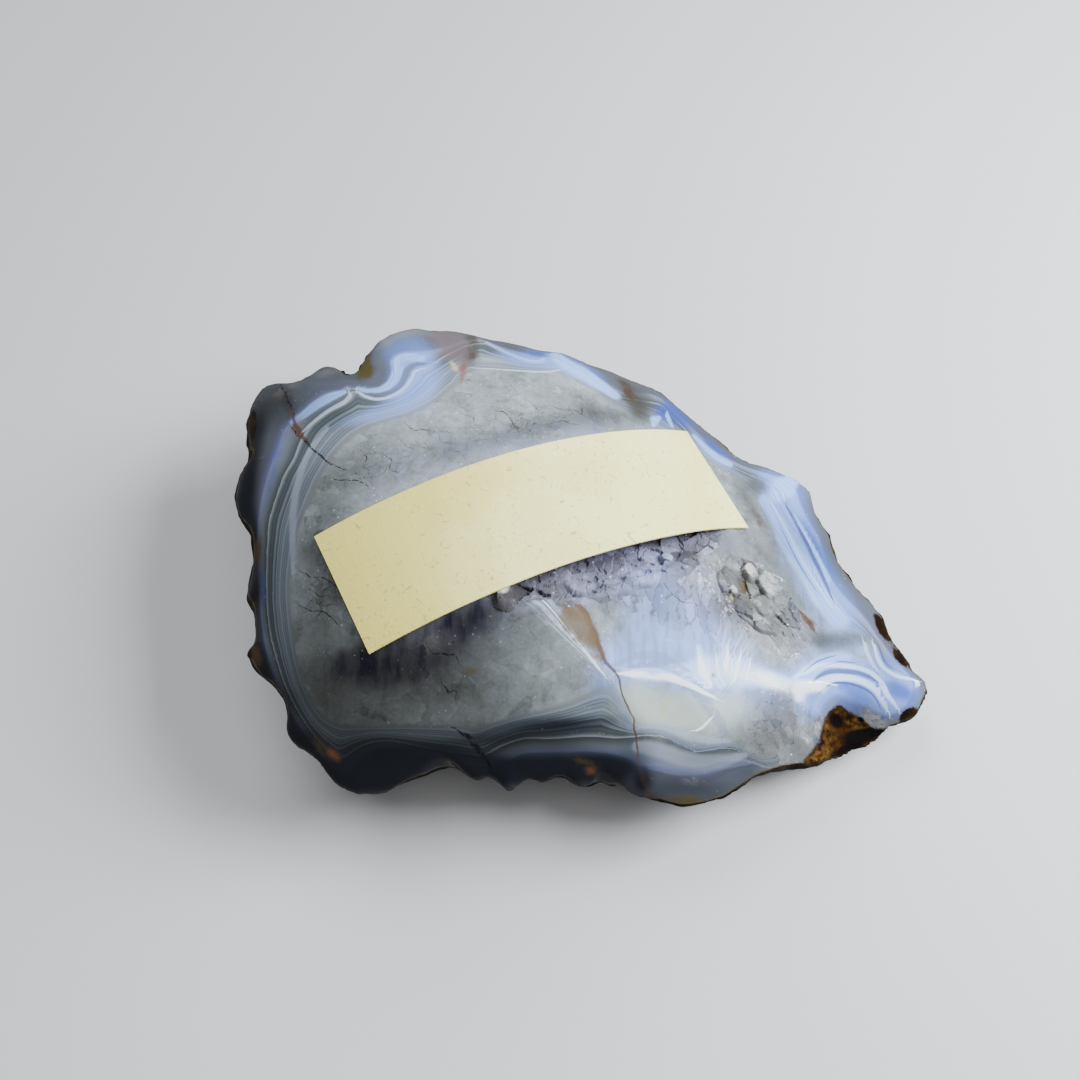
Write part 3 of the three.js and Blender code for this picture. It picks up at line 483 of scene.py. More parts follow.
# The rusty pocket in the rim.
RIND_POCKET = [
    (35.8, -35.2), (37.4, -33.4), (38.8, -31.4), (39.7, -28.8), (40.8, -26.6), (43, -25),
    (45, -25.7), (47, -26.4), (48.8, -27.8), (50.8, -28.8), (51, -31), (45, -33.5), (40, -36),
    (36, -37.5),
]


def smooth_line(drawn, closed=True, steps=5):
    """The curve through drawn points."""
    points = np.array(drawn, float)
    if closed:
        before, after, beyond = (np.roll(points, -k, 0) for k in (-1, 1, 2))
    else:
        padded = np.vstack([2 * points[0] - points[1], points, 2 * points[-1] - points[-2]])
        before, points, after, beyond = (padded[k:len(padded) - 3 + k] for k in range(4))
    parts = []
    for t in np.arange(steps) / steps:
        parts.append(0.5 * (
            2 * points + (after - before) * t
            + (2 * before - 5 * points + 4 * after - beyond) * t ** 2
            + (3 * points - before - 3 * after + beyond) * t ** 3))
    curve = np.stack(parts, 1).reshape(-1, np.shape(drawn)[1])
    return curve if closed else np.vstack([curve, drawn[-1]])


def near_line(places, line, closed, batch=8000):
    """How far each place is from a line, negative to its right, and the line's values there."""
    starts = line if closed else line[:-1]
    runs = (np.roll(line, -1, 0) if closed else line[1:]) - starts
    squares = (runs[:, :2] ** 2).sum(1) + 1e-9
    reach, values = np.empty(len(places)), np.empty((len(places), line.shape[1]))
    for first in range(0, len(places), batch):
        these = slice(first, first + batch)
        dx, dy = (places[these, k, None] - starts[None, :, k] for k in (0, 1))
        t = np.clip((dx * runs[:, 0] + dy * runs[:, 1]) / squares, 0, 1)
        away = (dx - t * runs[:, 0]) ** 2 + (dy - t * runs[:, 1]) ** 2
        best, row = away.argmin(1), np.arange(len(dx))
        side = runs[best, 0] * dy[row, best] - runs[best, 1] * dx[row, best]
        reach[these] = np.sqrt(away[row, best]) * np.where(side < 0, -1, 1)
        values[these] = starts[best] + t[row, best, None] * runs[best]
    return reach, values


def is_inside(places, line):
    """Whether each place lies inside a closed line."""
    inside = np.zeros(len(places), bool)
    x, y = places.T
    for (ax, ay), (bx, by) in zip(line, np.roll(line, 1, 0)):
        crosses = (y < ay) != (y < by)
        inside ^= crosses & (x < ax + (bx - ax) * (y - ay) / (by - ay + 1e-12))
    return inside


def depth_inside(places, drawn):
    """How deep each place lies inside a closed drawn line, negative outside it."""
    line = smooth_line(drawn)
    away = np.abs(near_line(places, line, True)[0])
    return np.where(is_inside(places, line), away, -away)


def ease(values, low, high):
    """A smooth rise from 0 at the low value to 1 at the high one."""
    t = np.clip((values - low) / (high - low), 0, 1)
    return t * t * (3 - 2 * t)


def dabbed(places, dabs):
    """Soft oval dabs: middle, half sizes, heading and strength of each."""
    bare = np.ones(len(places))
    for x, y, along, across, heading, strength in dabs:
        c, s = math.cos(math.radians(heading)), math.sin(math.radians(heading))
        dx, dy = places[:, 0] - x, places[:, 1] - y
        square = ((dx * c + dy * s) / along) ** 2 + ((dy * c - dx * s) / across) ** 2
        bare *= 1 - strength * np.exp(-square)
    return 1 - bare


def swept(places, sweeps):
    """Soft strokes along drawn lines of x, y and half width."""
    bare = np.ones(len(places))
    for sweep in sweeps:
        away, values = near_line(places, smooth_line(sweep, closed=False), False)
        bare *= 1 - np.exp(-np.abs(away / values[:, 2]) ** 3 * 0.8)
    return 1 - bare


def drawn_veins(places, veins, far=20.0, thinnest=0.03, broad=1.5):
    """How far each place is to either side of the nearest vein, in its half widths, and how
    near that vein is: 1 within a millimetre and 0 past two, or 1 all over for a broad one."""
    side, near = np.full(len(places), far), np.zeros(len(places))
    for vein in veins:
        away, values = near_line(places, smooth_line(vein, closed=False), False)
        close = 1 - ease(np.abs(away), 1, 2) if values[:, 2].max() < broad else 1
        widths = np.clip(away / np.maximum(values[:, 2], thinnest), -far, far)
        side, near = np.where(close > near, widths, side), np.maximum(near, close)
    return side, near


def sum_node(operation, reflected=False):
    """An operator of Wire, which adds a Math node."""
    def operate(self, other):
        return self.math(operation, *((other, self) if reflected else (self, other)))
    return operate


class Wire:
    """A socket's value in a material, which Python's operators calculate with."""

    def __init__(self, finish, socket):
        self.finish, self.socket = finish, socket

    def math(self, operation, *values):
        return self.finish.node("ShaderNodeMath", {"operation": operation}, dict(enumerate(values)))

    __add__, __radd__ = sum_node("ADD"), sum_node("ADD", True)
    __sub__, __rsub__ = sum_node("SUBTRACT"), sum_node("SUBTRACT", True)
    __mul__, __rmul__ = sum_node("MULTIPLY"), sum_node("MULTIPLY", True)
    __truediv__, __rtruediv__ = sum_node("DIVIDE"), sum_node("DIVIDE", True)

    def __abs__(self):
        return self.math("ABSOLUTE", self)


class Finish:
    """A material with its nodes. Sizes are in millimetres."""

    def __init__(self, name):
        self.material = bpy.data.materials.new(name)
        self.material.use_nodes = True
        self.tree = self.material.node_tree
        self.tree.nodes.clear()

    def node(self, kind, settings=None, values=None, output=0):
        """Adds a node, sets it, fills or links its sockets and returns one of its outputs."""
        made = self.tree.nodes.new(kind)
        for name, setting in (settings or {}).items():
            if name == "stops":
                ramp = made.color_ramp.elements
                while len(ramp) < len(setting):
                    ramp.new(0.5)
                for element, (position, color) in zip(ramp, setting):
                    element.position = position
                for element, (position, color) in zip(ramp, setting):
                    element.color = (*color, 1)
            else:
                setattr(made, name, setting)
        for name, value in (values or {}).items():
            socket = self.find(made.inputs, name)
            if isinstance(value, Wire):
                self.tree.links.new(value.socket, socket)
            elif isinstance(value, tuple) and len(value) == 3 and socket.type == "RGBA":
                socket.default_value = (*value, 1)
            else:
                socket.default_value = value
        return Wire(self, self.find(made.outputs, output)) if made.outputs else made

    @staticmethod
    def find(sockets, name):
        if isinstance(name, int):
            return sockets[name]
        return next((s for s in sockets if s.identifier == name), None) or sockets[name]

    def place(self):
        """The piece's own coordinates."""
        return self.node("ShaderNodeTexCoord", output="Object")

    def stored(self, name):
        return self.node("ShaderNodeAttribute", {"attribute_name": name}, output="Fac")

    def vector(self, operation, first, second, output="Vector"):
        return self.node(
            "ShaderNodeVectorMath", {"operation": operation}, {0: first, 1: second}, output)

    def between(self, value, low, high, ends=(0.0, 1.0)):
        """A smooth rise from 0 at the low value to 1 at the high one."""
        return self.node(
            "ShaderNodeMapRange", {"interpolation_type": "SMOOTHSTEP"},
            {"Value": value, "From Min": low, "From Max": high, "To Min": ends[0], "To Max": ends[1]})

    def fade(self, value, low, high):
        """A smooth fall from 1 at the low value to 0 at the high one."""
        return self.between(value, low, high, (1.0, 0.0))

    def mix(self, factor, first, second, blend="MIX"):
        return self.node(
            "ShaderNodeMix", {"data_type": "RGBA", "blend_type": blend},
            {"Factor_Float": factor, "A_Color": first, "B_Color": second}, "Result_Color")

    def times(self, color, shade):
        return self.mix(1.0, color, shade, "MULTIPLY")

    def darken(self, factor, color, shade):
        """The color, multiplied by the shade as far as the factor says."""
        return self.mix(factor, color, self.times(color, shade))

    def ramp(self, value, stops):
        return self.node("ShaderNodeValToRGB", {"stops": stops}, {"Fac": value}, "Color")

    def noise(self, where, size, detail=2.0, roughness=0.5, distortion=0.0, output="Fac"):
        """Noise with lumps of that size."""
        return self.node(
            "ShaderNodeTexNoise", {},
            {"Vector": where, "Scale": 1 / (size * MM), "Detail": detail,
             "Roughness": roughness, "Distortion": distortion}, output)

    def cells(self, where, size, output="Distance", feature="F1"):
        return self.node(
            "ShaderNodeTexVoronoi", {"feature": feature},
            {"Vector": where, "Scale": 1 / (size * MM), "Randomness": 1.0}, output)

    def seams(self, where, size, width):
        """1 along the seams between cells of that size."""
        return self.fade(self.cells(where, size, feature="DISTANCE_TO_EDGE"), 0.0, width)

    def sparkle(self, where, size, radii, patch, shown):
        """Specks in cells of that size, where a slow noise lets them show."""
        specks = self.fade(self.cells(where, size), *radii)
        return specks * self.between(self.noise(where, *patch), *shown)

    def chance(self, where, size):
        """A random color of each cell, and its red alone."""
        color = self.cells(where, size, "Color")
        return color, self.node("ShaderNodeSeparateColor", {}, {"Color": color}, "Red")

    def shards(self, where, size):
        """Flat facets tilted at random like broken crystal: their height and a random value."""
        color, pick = self.chance(where, size)
        tilt = self.vector("SUBTRACT", color, (0.5, 0.5, 0.5))
        away = self.vector("SUBTRACT", where, self.cells(where, size, "Position"))
        return self.vector("DOT_PRODUCT", away, tilt, "Value") * (1 / MM), pick

    def vein(self, name, waver):
        """1 inside the drawn veins of that name, fading past their sides."""
        away = self.stored(name + "_side") + waver
        return self.fade(abs(away), 0.7, 1.7) * self.stored(name + "_near")

    def tinted(self, color, uneven, low, tints):
        """The color with tints over it, each where its stored value says, with uneven edges."""
        for tint, shade, share in tints:
            shown = self.between(self.stored(tint) + uneven, low, 1 - low)
            color = self.mix(shown * share, color, shade)
        return color

    def bump(self, height, strength, relief=1.0):
        """The normal of a surface whose height is counted in reliefs."""
        return self.node(
            "ShaderNodeBump", {},
            {"Strength": strength, "Distance": relief * MM, "Height": height}, "Normal")

    def principled(self, **values):
        surface = self.node(
            "ShaderNodeBsdfPrincipled", {},
            {name.replace("_", " "): value for name, value in values.items()})
        self.node("ShaderNodeOutputMaterial", {}, {"Surface": surface})
        return self.material


def agate_bands(look, depth, milk, lines_per_band=7.5):
    """The banded layer, blue-grey where it is clear and light blue where it is milky, and its
    fine lines."""
    lines = look.node(
        "ShaderNodeTexNoise", {"noise_dimensions": "1D"},
        {"W": depth * lines_per_band, "Scale": 1.0, "Detail": 3.0, "Roughness": 0.75}, "Fac")
    lines = look.between(lines, 0.32, 0.68)
    clear = look.ramp(depth / 3, [
        (0.0, (0.075, 0.078, 0.088)), (0.12, (0.085, 0.095, 0.12)), (0.28, (0.09, 0.10, 0.135)),
        (0.33, (0.12, 0.13, 0.24)), (0.37, (0.21, 0.235, 0.37)), (0.43, (0.19, 0.22, 0.30)),
        (0.52, (0.16, 0.185, 0.22)), (0.60, (0.10, 0.115, 0.13)), (0.655, (0.07, 0.085, 0.09)),
        (0.668, (0.36, 0.40, 0.46)), (0.69, (0.14, 0.165, 0.185)), (0.71, (0.05, 0.065, 0.065)),
        (0.78, (0.12, 0.145, 0.165)), (0.86, (0.18, 0.21, 0.24)), (0.92, (0.12, 0.14, 0.155)),
        (0.96, (0.22, 0.25, 0.265)), (1.0, (0.19, 0.205, 0.205)),
    ])
    milky = look.ramp(depth / 3, [
        (0.0, (0.13, 0.16, 0.21)), (0.15, (0.12, 0.165, 0.32)), (0.30, (0.12, 0.18, 0.44)),
        (0.36, (0.20, 0.31, 0.72)), (0.48, (0.24, 0.35, 0.76)), (0.60, (0.19, 0.29, 0.68)),
        (0.70, (0.25, 0.37, 0.76)), (0.82, (0.20, 0.31, 0.62)), (0.9, (0.27, 0.38, 0.68)),
        (0.97, (0.29, 0.36, 0.47)), (1.0, (0.24, 0.28, 0.31)),
    ])
    inner = look.between(depth, 2.06, 2.25) * look.fade(depth, 2.88, 2.97)
    clear_lines = look.mix(lines, (0.065, 0.08, 0.095), (0.29, 0.35, 0.43))
    milky_lines = look.mix(lines, (0.11, 0.19, 0.46), (0.33, 0.48, 0.95))
    clear = look.mix(inner * 0.6, clear, clear_lines)
    milky = look.mix(inner * 0.35, milky, milky_lines)
    outer = look.fade(depth, 0.85, 1.0)
    clear = look.mix(outer * lines * 0.2, clear, (0.13, 0.15, 0.19))
    return look.mix(look.between(milk, 0.25, 0.8), clear, milky), lines


def agate_quartz(look, where, warped, cloud, fine, milk):
    """The quartz inside: cloudy grey with fractures, violet under the strip, milky to the
    right. Gives its color, its fractures and the tilt of its grains."""
    plane, chance = look.shards(warped, 2.8)
    speckle = look.noise(where, 0.5, 3, 0.7) - 0.5
    grade = cloud * 0.65 + fine * 0.35 + plane * 0.09 + (chance - 0.5) * 0.10 + speckle * 0.35
    quartz = look.ramp(grade, [
        (0.28, (0.13, 0.142, 0.142)), (0.44, (0.21, 0.235, 0.24)), (0.56, (0.26, 0.295, 0.315)),
        (0.74, (0.38, 0.42, 0.455)),
    ])
    lilac = look.stored("lilac") * look.between(cloud, 0.3, 0.7)
    quartz = look.mix(lilac * 0.8, quartz, (0.18, 0.20, 0.45))
    violet = look.stored("violet")
    quartz = look.mix(violet * 0.5, quartz, (0.085, 0.075, 0.17))
    darkest = look.between(violet + (cloud - 0.5) * 1.3, 0.15, 0.8)
    quartz = look.mix(darkest * 0.95, quartz, (0.012, 0.008, 0.040))

    # Upright curtains, stronger where the quartz is milky.
    upright = look.vector("MULTIPLY", where, (1.0, 0.16, 0.3))
    curtain = look.noise(upright, 1.6, 3, 0.6) * 0.6 + look.noise(where, 5.0, 2) * 0.4
    curtain = look.between(curtain, 0.36, 0.64)
    quartz = look.mix(curtain * 0.35, quartz, (0.34, 0.36, 0.36))
    haze = look.between(milk + (cloud - 0.5) * 0.5, 0.15, 0.9)
    milky = look.mix(curtain, (0.16, 0.26, 0.56), (0.30, 0.46, 0.88))
    quartz = look.mix(haze * 0.85, quartz, milky)

    # Crystals seen from their sides.
    stretched = look.vector("MULTIPLY", warped, (1.0, 0.28, 0.5))
    column_tone = look.chance(stretched, 1.7)[1]
    in_columns = look.between(look.stored("columns") + (cloud - 0.5) * 0.5, 0.2, 0.6)
    column_tone = look.mix(column_tone, (0.10, 0.098, 0.14), (0.34, 0.39, 0.66))
    quartz = look.mix(in_columns * 0.55, quartz, column_tone)
    split = look.seams(stretched, 1.7, 0.10) * look.between(fine, 0.40, 0.56)
    quartz = look.mix(in_columns * split * 0.6, quartz, (0.06, 0.055, 0.05))

    torn = look.between(look.noise(where, 3.0, 2), 0.42, 0.54) * look.between(fine, 0.40, 0.52)
    torn = torn * look.between(look.stored("torn") + (cloud - 0.5) * 0.4, 0.15, 0.7)
    fracture = look.seams(warped, 2.6, 0.035) * torn
    quartz = look.mix(fracture * 0.75, quartz, (0.05, 0.045, 0.032))
    sparkle = look.sparkle(where, 1.3, (0.06, 0.14), (4.0, 3), (0.46, 0.56))
    return look.mix(sparkle * 0.75, quartz, (0.75, 0.80, 0.85)), fracture, plane


def broken_crystal(look, color, where, warped, cloud, fine):
    """The color with lumps of broken crystal, dark gaps and bright specks. Gives also how
    broken each place is, the lumps' tilt and the gaps."""
    grain = look.between(look.stored("grain") + (cloud - 0.5) * 0.8, 0.2, 0.7)
    facet, sort = look.shards(warped, 1.6)
    lump_tone = look.mix(sort, (0.10, 0.098, 0.105), (0.44, 0.45, 0.48))
    color = look.mix(grain * 0.5, color, lump_tone)
    gap = look.seams(warped, 1.6, 0.12) * grain * look.between(fine, 0.45, 0.6)
    gap = gap * look.between(look.noise(where, 2.0, 3), 0.48, 0.6)
    color = look.mix(gap * 0.65, color, (0.045, 0.04, 0.035))
    sparkle = look.sparkle(where, 1.1, (0.08, 0.2), (3.0, 2), (0.5, 0.6))
    color = look.mix(sparkle * (grain * 0.85 + 0.15), color, (0.80, 0.86, 0.92))
    return color, grain, facet, gap


def painted_light_and_stains(look, color, where, waver, cloud, crumbs, rays_in_turn=60):
    """The color with painted shade, painted glare and glints, rays, stains and cracks."""
    # Painted shade, partly the stone's own darker tone.
    color = look.darken(look.stored("dusk"), color, (0.125, 0.113, 0.097))
    smoke = look.stored("smoke")
    color = look.mix(look.between(smoke, 0.1, 0.85) * 0.97, color, (0.004, 0.005, 0.008))
    spread = look.stored("fan_turn") * rays_in_turn
    spread = look.node("ShaderNodeCombineXYZ", {}, {"X": spread, "Y": cloud * 3})
    rays = look.node(
        "ShaderNodeTexNoise", {"noise_dimensions": "2D"},
        {"Vector": spread, "Scale": 1.0, "Detail": 3.0, "Roughness": 0.7}, "Fac")
    fan = look.stored("fan_glow") * look.between(rays, 0.44, 0.62)
    color = look.mix(fan * 0.9, color, (0.74, 0.86, 1.0))
    # Painted glints along the ridges and feathers.
    gleam = look.vein("gleam", (crumbs - 0.5) * 0.7)
    color = look.mix(gleam * 0.85, color, (0.95, 0.97, 1.0))

    mottle = look.noise(where, 1.6, 4, 0.65)
    # Stains and tints of the stone; glow among them is painted glare.
    color = look.tinted(color, (mottle - 0.5) * 0.7, 0.15, (
        ("grime", (0.14, 0.12, 0.075), 0.75), ("pink", (0.155, 0.12, 0.13), 0.82),
        ("brown", (0.05, 0.032, 0.014), 0.9), ("olive", (0.06, 0.047, 0.010), 0.9),
        ("rust", (0.12, 0.05, 0.018), 0.85), ("glow", (0.93, 0.97, 1.0), 0.85),
        ("salmon", (0.22, 0.085, 0.07), 0.85), ("cream", (0.50, 0.43, 0.26), 0.85),
    ))
    chipped = look.between(look.noise(where, 0.9, 4, 0.7), 0.36, 0.56)
    crack = look.vein("dark_crack", waver) * chipped
    color = look.darken(crack * 0.95, color, (0.10, 0.085, 0.07))
    bare = 1 - look.between(smoke, 0.1, 0.6) * 0.75
    color = look.mix(look.vein("rust_vein", waver) * bare * 0.8, color, (0.075, 0.032, 0.015))
    stain = look.stored("stain") + (mottle - 0.5) * 0.8
    color = look.mix(look.between(stain, -0.4, 0.9) * 0.8, color, (0.15, 0.107, 0.064))
    edge = look.fade(abs(stain), 0.1, 0.8) * look.between(mottle, 0.38, 0.6)
    return look.mix(edge * 0.6, color, (0.14, 0.07, 0.03))


def rusty_rim(look, color, where, crumbs):
    """The color with the rusty pocket and painted shade in its hole, and dark spots along the rim."""
    pocket = look.between(look.stored("rind_pocket") + (crumbs - 0.5) * 1.6, -0.2, 0.25)
    rusty = look.ramp(look.noise(where, 2.4, 5, 0.65), [
        (0.34, (0.006, 0.002, 0.001)), (0.46, (0.018, 0.006, 0.001)),
        (0.60, (0.042, 0.016, 0.002)), (0.72, (0.13, 0.062, 0.010)),
    ])
    amber = look.stored("amber") * look.between(crumbs, 0.4, 0.65)
    rusty = look.mix(amber * 0.8, rusty, (0.19, 0.10, 0.022))
    # Painted shade in the pocket's hole.
    shaded_hole = look.between(look.stored("soot") + (crumbs - 0.5) * 0.4, 0.25, 0.6)
    rusty = look.mix(shaded_hole, rusty, (0.003, 0.002, 0.002))
    spot = look.between(look.stored("rind_spot") + (crumbs - 0.5) * 0.8, 0.4, 0.6)
    color = look.mix(pocket, color, rusty)
    return look.mix(spot, color, look.times(rusty, (0.4, 0.45, 0.5))), pocket


def agate_finish():
    """Polished chalcedony bands and clear quartz, with a matt brown skin round and under, its brown
    darkened nearly to black as painted shade.
    """
    look = Finish("banded_agate")
    where = look.place()
    crumbs = look.noise(where, 1.2, 6, 0.7)
    cloud = look.noise(where, 5.0, 5, 0.6, 0.6)
    fine = look.noise(where, 0.9, 4, 0.7)
    depth = look.stored("band_depth") + (look.noise(where, 4.0, 3) - 0.5) * 0.05
    milk = look.stored("milk")
    stray = look.noise(where, STRAY_SIZE, 3, output="Color")
    warped = look.node(
        "ShaderNodeVectorMath", {"operation": "MULTIPLY_ADD"},
        {0: stray, 1: (STRAY * MM,) * 3, 2: where}, "Vector")

    bands, lines = agate_bands(look, depth, milk)
    quartz, fracture, plane = agate_quartz(look, where, warped, cloud, fine, milk)
    color = look.mix(look.between(depth, 2.93, 3.05), bands, quartz)
    streaks = look.fade(depth, 2.95, 3.05) * lines
    white_tone = look.mix(streaks, (0.44, 0.64, 1.0), (0.20, 0.36, 0.90))
    soft = (look.noise(where, 2.2, 3, 0.6) - 0.5) * 0.45
    # Tints of the bands; the white strokes also hold painted highlights.
    color = look.tinted(color, soft, 0.1, (
        ("slate", (0.095, 0.105, 0.102), 0.85), ("blue", (0.05, 0.10, 0.40), 0.88),
        ("chalky", (0.23, 0.235, 0.235), 0.85), ("pale", (0.50, 0.56, 0.50), 0.85),
        ("ivory", (0.36, 0.42, 0.52), 0.7), ("white", white_tone, 0.9),
    ))
    waver = (look.noise(where, 1.6, 4, 0.65) - 0.5) * 2.2
    for vein, sway, share, shade in (
        ("bright_arc", 0.2, 0.85, (0.55, 0.70, 1.0)), ("navy", 0.4, 0.75, (0.045, 0.06, 0.20)),
        ("slate_line", 0.4, 0.7, (0.11, 0.13, 0.16)), ("grey_arc", 0.4, 0.5, (0.19, 0.23, 0.36)),
        ("thin_white", 0.5, 0.6, (0.60, 0.74, 1.0)),
    ):
        color = look.mix(look.vein(vein, waver * sway) * share, color, shade)
    color, grain, facet, gap = broken_crystal(look, color, where, warped, cloud, fine)
    color = painted_light_and_stains(look, color, where, waver, cloud, crumbs)

    # A thin line of tan skin along the rim, and bark below it, its brown darkened nearly to black as
    # painted shade.
    skin = look.stored("skin")
    lip = look.between(skin, 0.05, 0.3) * look.between(crumbs, 0.3, 0.6)
    color = look.mix(lip * 0.75, color, (0.10, 0.08, 0.04))
    color, pocket = rusty_rim(look, color, where, crumbs)
    patches = look.noise(where, 9.0, 3, 0.6)
    bark_and_shade = look.ramp(patches * 0.6 + crumbs * 0.4, [
        (0.30, (0.003, 0.002, 0.001)), (0.42, (0.007, 0.0045, 0.002)), (0.52, (0.018, 0.012, 0.007)),
        (0.62, (0.042, 0.032, 0.018)), (0.72, (0.09, 0.075, 0.05)),
    ])
    ragged = look.between(skin + (crumbs - 0.5) * 0.5, 0.35, 0.65)
    color = look.mix(ragged, color, bark_and_shade)

    rough = ragged.math("MAXIMUM", ragged, pocket)
    height = (rough * crumbs * 0.6 + grain * facet * 0.35 + fracture * -0.04 + gap * -0.08
              + plane * 0.006)
    gloss = 0.1 + rough * 0.9 + grain * look.between(fine, 0.4, 0.6) * 0.2 + fracture * 0.15
    return look.principled(
        Base_Color=color, Roughness=gloss, Normal=look.bump(height, 0.8), IOR=1.54)


def quartz_finish():
    """Milky quartz, tinted as the polished stone round it, with painted shade at the crystals' feet.
    """
    look = Finish("quartz_points")
    where = look.place()
    cloud = look.noise(where, 3.0, 4, 0.6)
    fine = look.noise(where, 0.9, 4, 0.7)
    grade = cloud * 0.45 + look.stored("tone") * 0.45 + fine * 0.1
    color = look.ramp(grade, [
        (0.20, (0.07, 0.068, 0.062)), (0.42, (0.125, 0.125, 0.12)), (0.60, (0.185, 0.19, 0.185)),
        (0.75, (0.36, 0.38, 0.38)), (0.95, (0.72, 0.70, 0.62)),
    ])
    lilac = look.ramp(grade, [
        (0.20, (0.07, 0.062, 0.088)), (0.42, (0.145, 0.135, 0.18)), (0.60, (0.235, 0.23, 0.32)),
        (0.75, (0.39, 0.41, 0.62)), (0.95, (0.72, 0.70, 0.62)),
    ])
    color = look.mix(look.stored("lilac"), color, lilac)
    color = look.mix(look.stored("milk") * 0.6, color, (0.26, 0.38, 0.72))
    # Painted shade, as on the stone round the crust.
    color = look.darken(look.stored("dusk") * 0.8, color, (0.16, 0.14, 0.14))
    crack = look.seams(where, 1.6, 0.05) * look.between(fine, 0.46, 0.56)
    color = look.mix(crack * 0.4, color, (0.07, 0.06, 0.04))
    sparkle = look.sparkle(where, 1.1, (0.08, 0.2), (3.0, 2), (0.54, 0.6))
    color = look.mix(sparkle * 0.85, color, (0.85, 0.90, 0.95))
    grime = look.between(look.stored("grime") + (fine - 0.5), 0.3, 0.9)
    color = look.mix(grime * 0.8, color, (0.09, 0.065, 0.02))
    color = look.mix(look.between(look.stored("cream"), 0.3, 0.7), color, (0.80, 0.76, 0.60))
    # Painted shade where the crust stands low, at the crystals' feet and in clefts.
    crevice_shade = look.fade(look.stored("rise"), 0.0, 0.3)
    color = look.darken(crevice_shade * 0.42, color, (0.12, 0.10, 0.10))
    plane, chance = look.shards(where, 1.1)
    return look.principled(
        Base_Color=color, Roughness=0.08 + chance * 0.2,
        Normal=look.bump(plane * 0.2 + fine * 0.05, 0.6), IOR=1.54,
        Subsurface_Weight=0.25, Subsurface_Radius=(MM, MM, MM), Subsurface_Scale=1.0)


def paper_finish():
    """Cream paper with fine fibres, with painted shade making it browner towards the thick end."""
    look = Finish("cream_paper")
    where = look.place()
    pulp = look.noise(where, 0.5, 5, 0.7)
    blotch = look.noise(where, 14.0, 3)
    color = look.ramp(blotch * 0.7 + pulp * 0.3, [
        (0.3, (0.82, 0.75, 0.27)), (0.5, (0.90, 0.85, 0.35)), (0.7, (0.95, 0.91, 0.44)),
    ])
    along = look.node("ShaderNodeSeparateXYZ", {}, {"Vector": where}, "X")
    # Painted shade over the third of the strip at the thick end.
    end_shade = look.fade(along + (blotch - 0.5) * 0.012, -0.026, -0.008)
    color = look.mix(end_shade * 0.75, color, (0.68, 0.57, 0.11))
    fibre = look.between(look.noise(where, FIBRE_SIZE, 2, distortion=3.0), 0.61, 0.72)
    color = look.mix(fibre * 0.55, color, (0.30, 0.23, 0.10))
    return look.principled(
        Base_Color=color, Roughness=0.85, Normal=look.bump(pulp, 0.25, 0.3))


def deselect():
    bpy.ops.object.select_all(action="DESELECT")


def pick(piece):
    deselect()
    piece.select_set(True)
    bpy.context.view_layer.objects.active = piece


def add_modifier(piece, kind, **settings):
    pick(piece)
    modifier = piece.modifiers.new(kind.lower(), kind)
    for name, value in settings.items():
        setattr(modifier, name, value)
    bpy.ops.object.modifier_apply(modifier=modifier.name)


def linked_copy(mesh, name):
    piece = bpy.data.objects.new(name, mesh.copy())
    bpy.context.scene.collection.objects.link(piece)
    return piece


def merged_copy(node, name):
    """A copy of a CAD node with its corners joined and its triangles paired to quads."""
    piece = linked_copy(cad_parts[node].data, name)
    piece.data.materials.clear()
    pick(piece)
    if piece.data.has_custom_normals:
        bpy.ops.mesh.customdata_custom_splitnormals_clear()
    bpy.ops.object.mode_set(mode="EDIT")
    bpy.ops.mesh.select_all(action="SELECT")
    bpy.ops.mesh.remove_doubles(threshold=1e-6)
    bpy.ops.mesh.mark_sharp(clear=True)
    bpy.ops.mesh.tris_convert_to_quads(face_threshold=math.pi, shape_threshold=math.pi)
    bpy.ops.object.mode_set(mode="OBJECT")
    return piece


def corners(piece, what="co"):
    """The places of a mesh's corners, or their normals."""
    values = np.empty(len(piece.data.vertices) * 3, np.float32)
    piece.data.vertices.foreach_get(what, values)
    return values.reshape(-1, 3).astype(float)


def move_corners(piece, points):
    piece.data.vertices.foreach_set("co", points.astype(np.float32).ravel())
    piece.data.update()


def store(piece, name, values):
    layer = piece.data.attributes.new(name, "FLOAT", "POINT")
    layer.data.foreach_set("value", np.asarray(values, np.float32))


def lumps(points, size, seed=0.0):
    """Smooth noise from about -1 to 1 at points in millimetres."""
    shift = Vector((seed, 2.3 * seed, 4.1 * seed))
    return np.array([noise.noise(Vector(p) / size + shift) for p in points])


def round_off(piece):
    add_modifier(piece, "SUBSURF", levels=ROUNDING, render_levels=ROUNDING)


def smooth_through_corners(piece, rounds=4):
    """Subdivides a form so that its smooth surface still passes through its corners."""
    wanted = corners(piece)
    for _ in range(rounds):
        trial = linked_copy(piece.data, "trial")
        round_off(trial)
        reached = corners(trial)[:len(wanted)]
        move_corners(piece, corners(piece) + 0.9 * (wanted - reached))
        bpy.data.objects.remove(trial)
    round_off(piece)


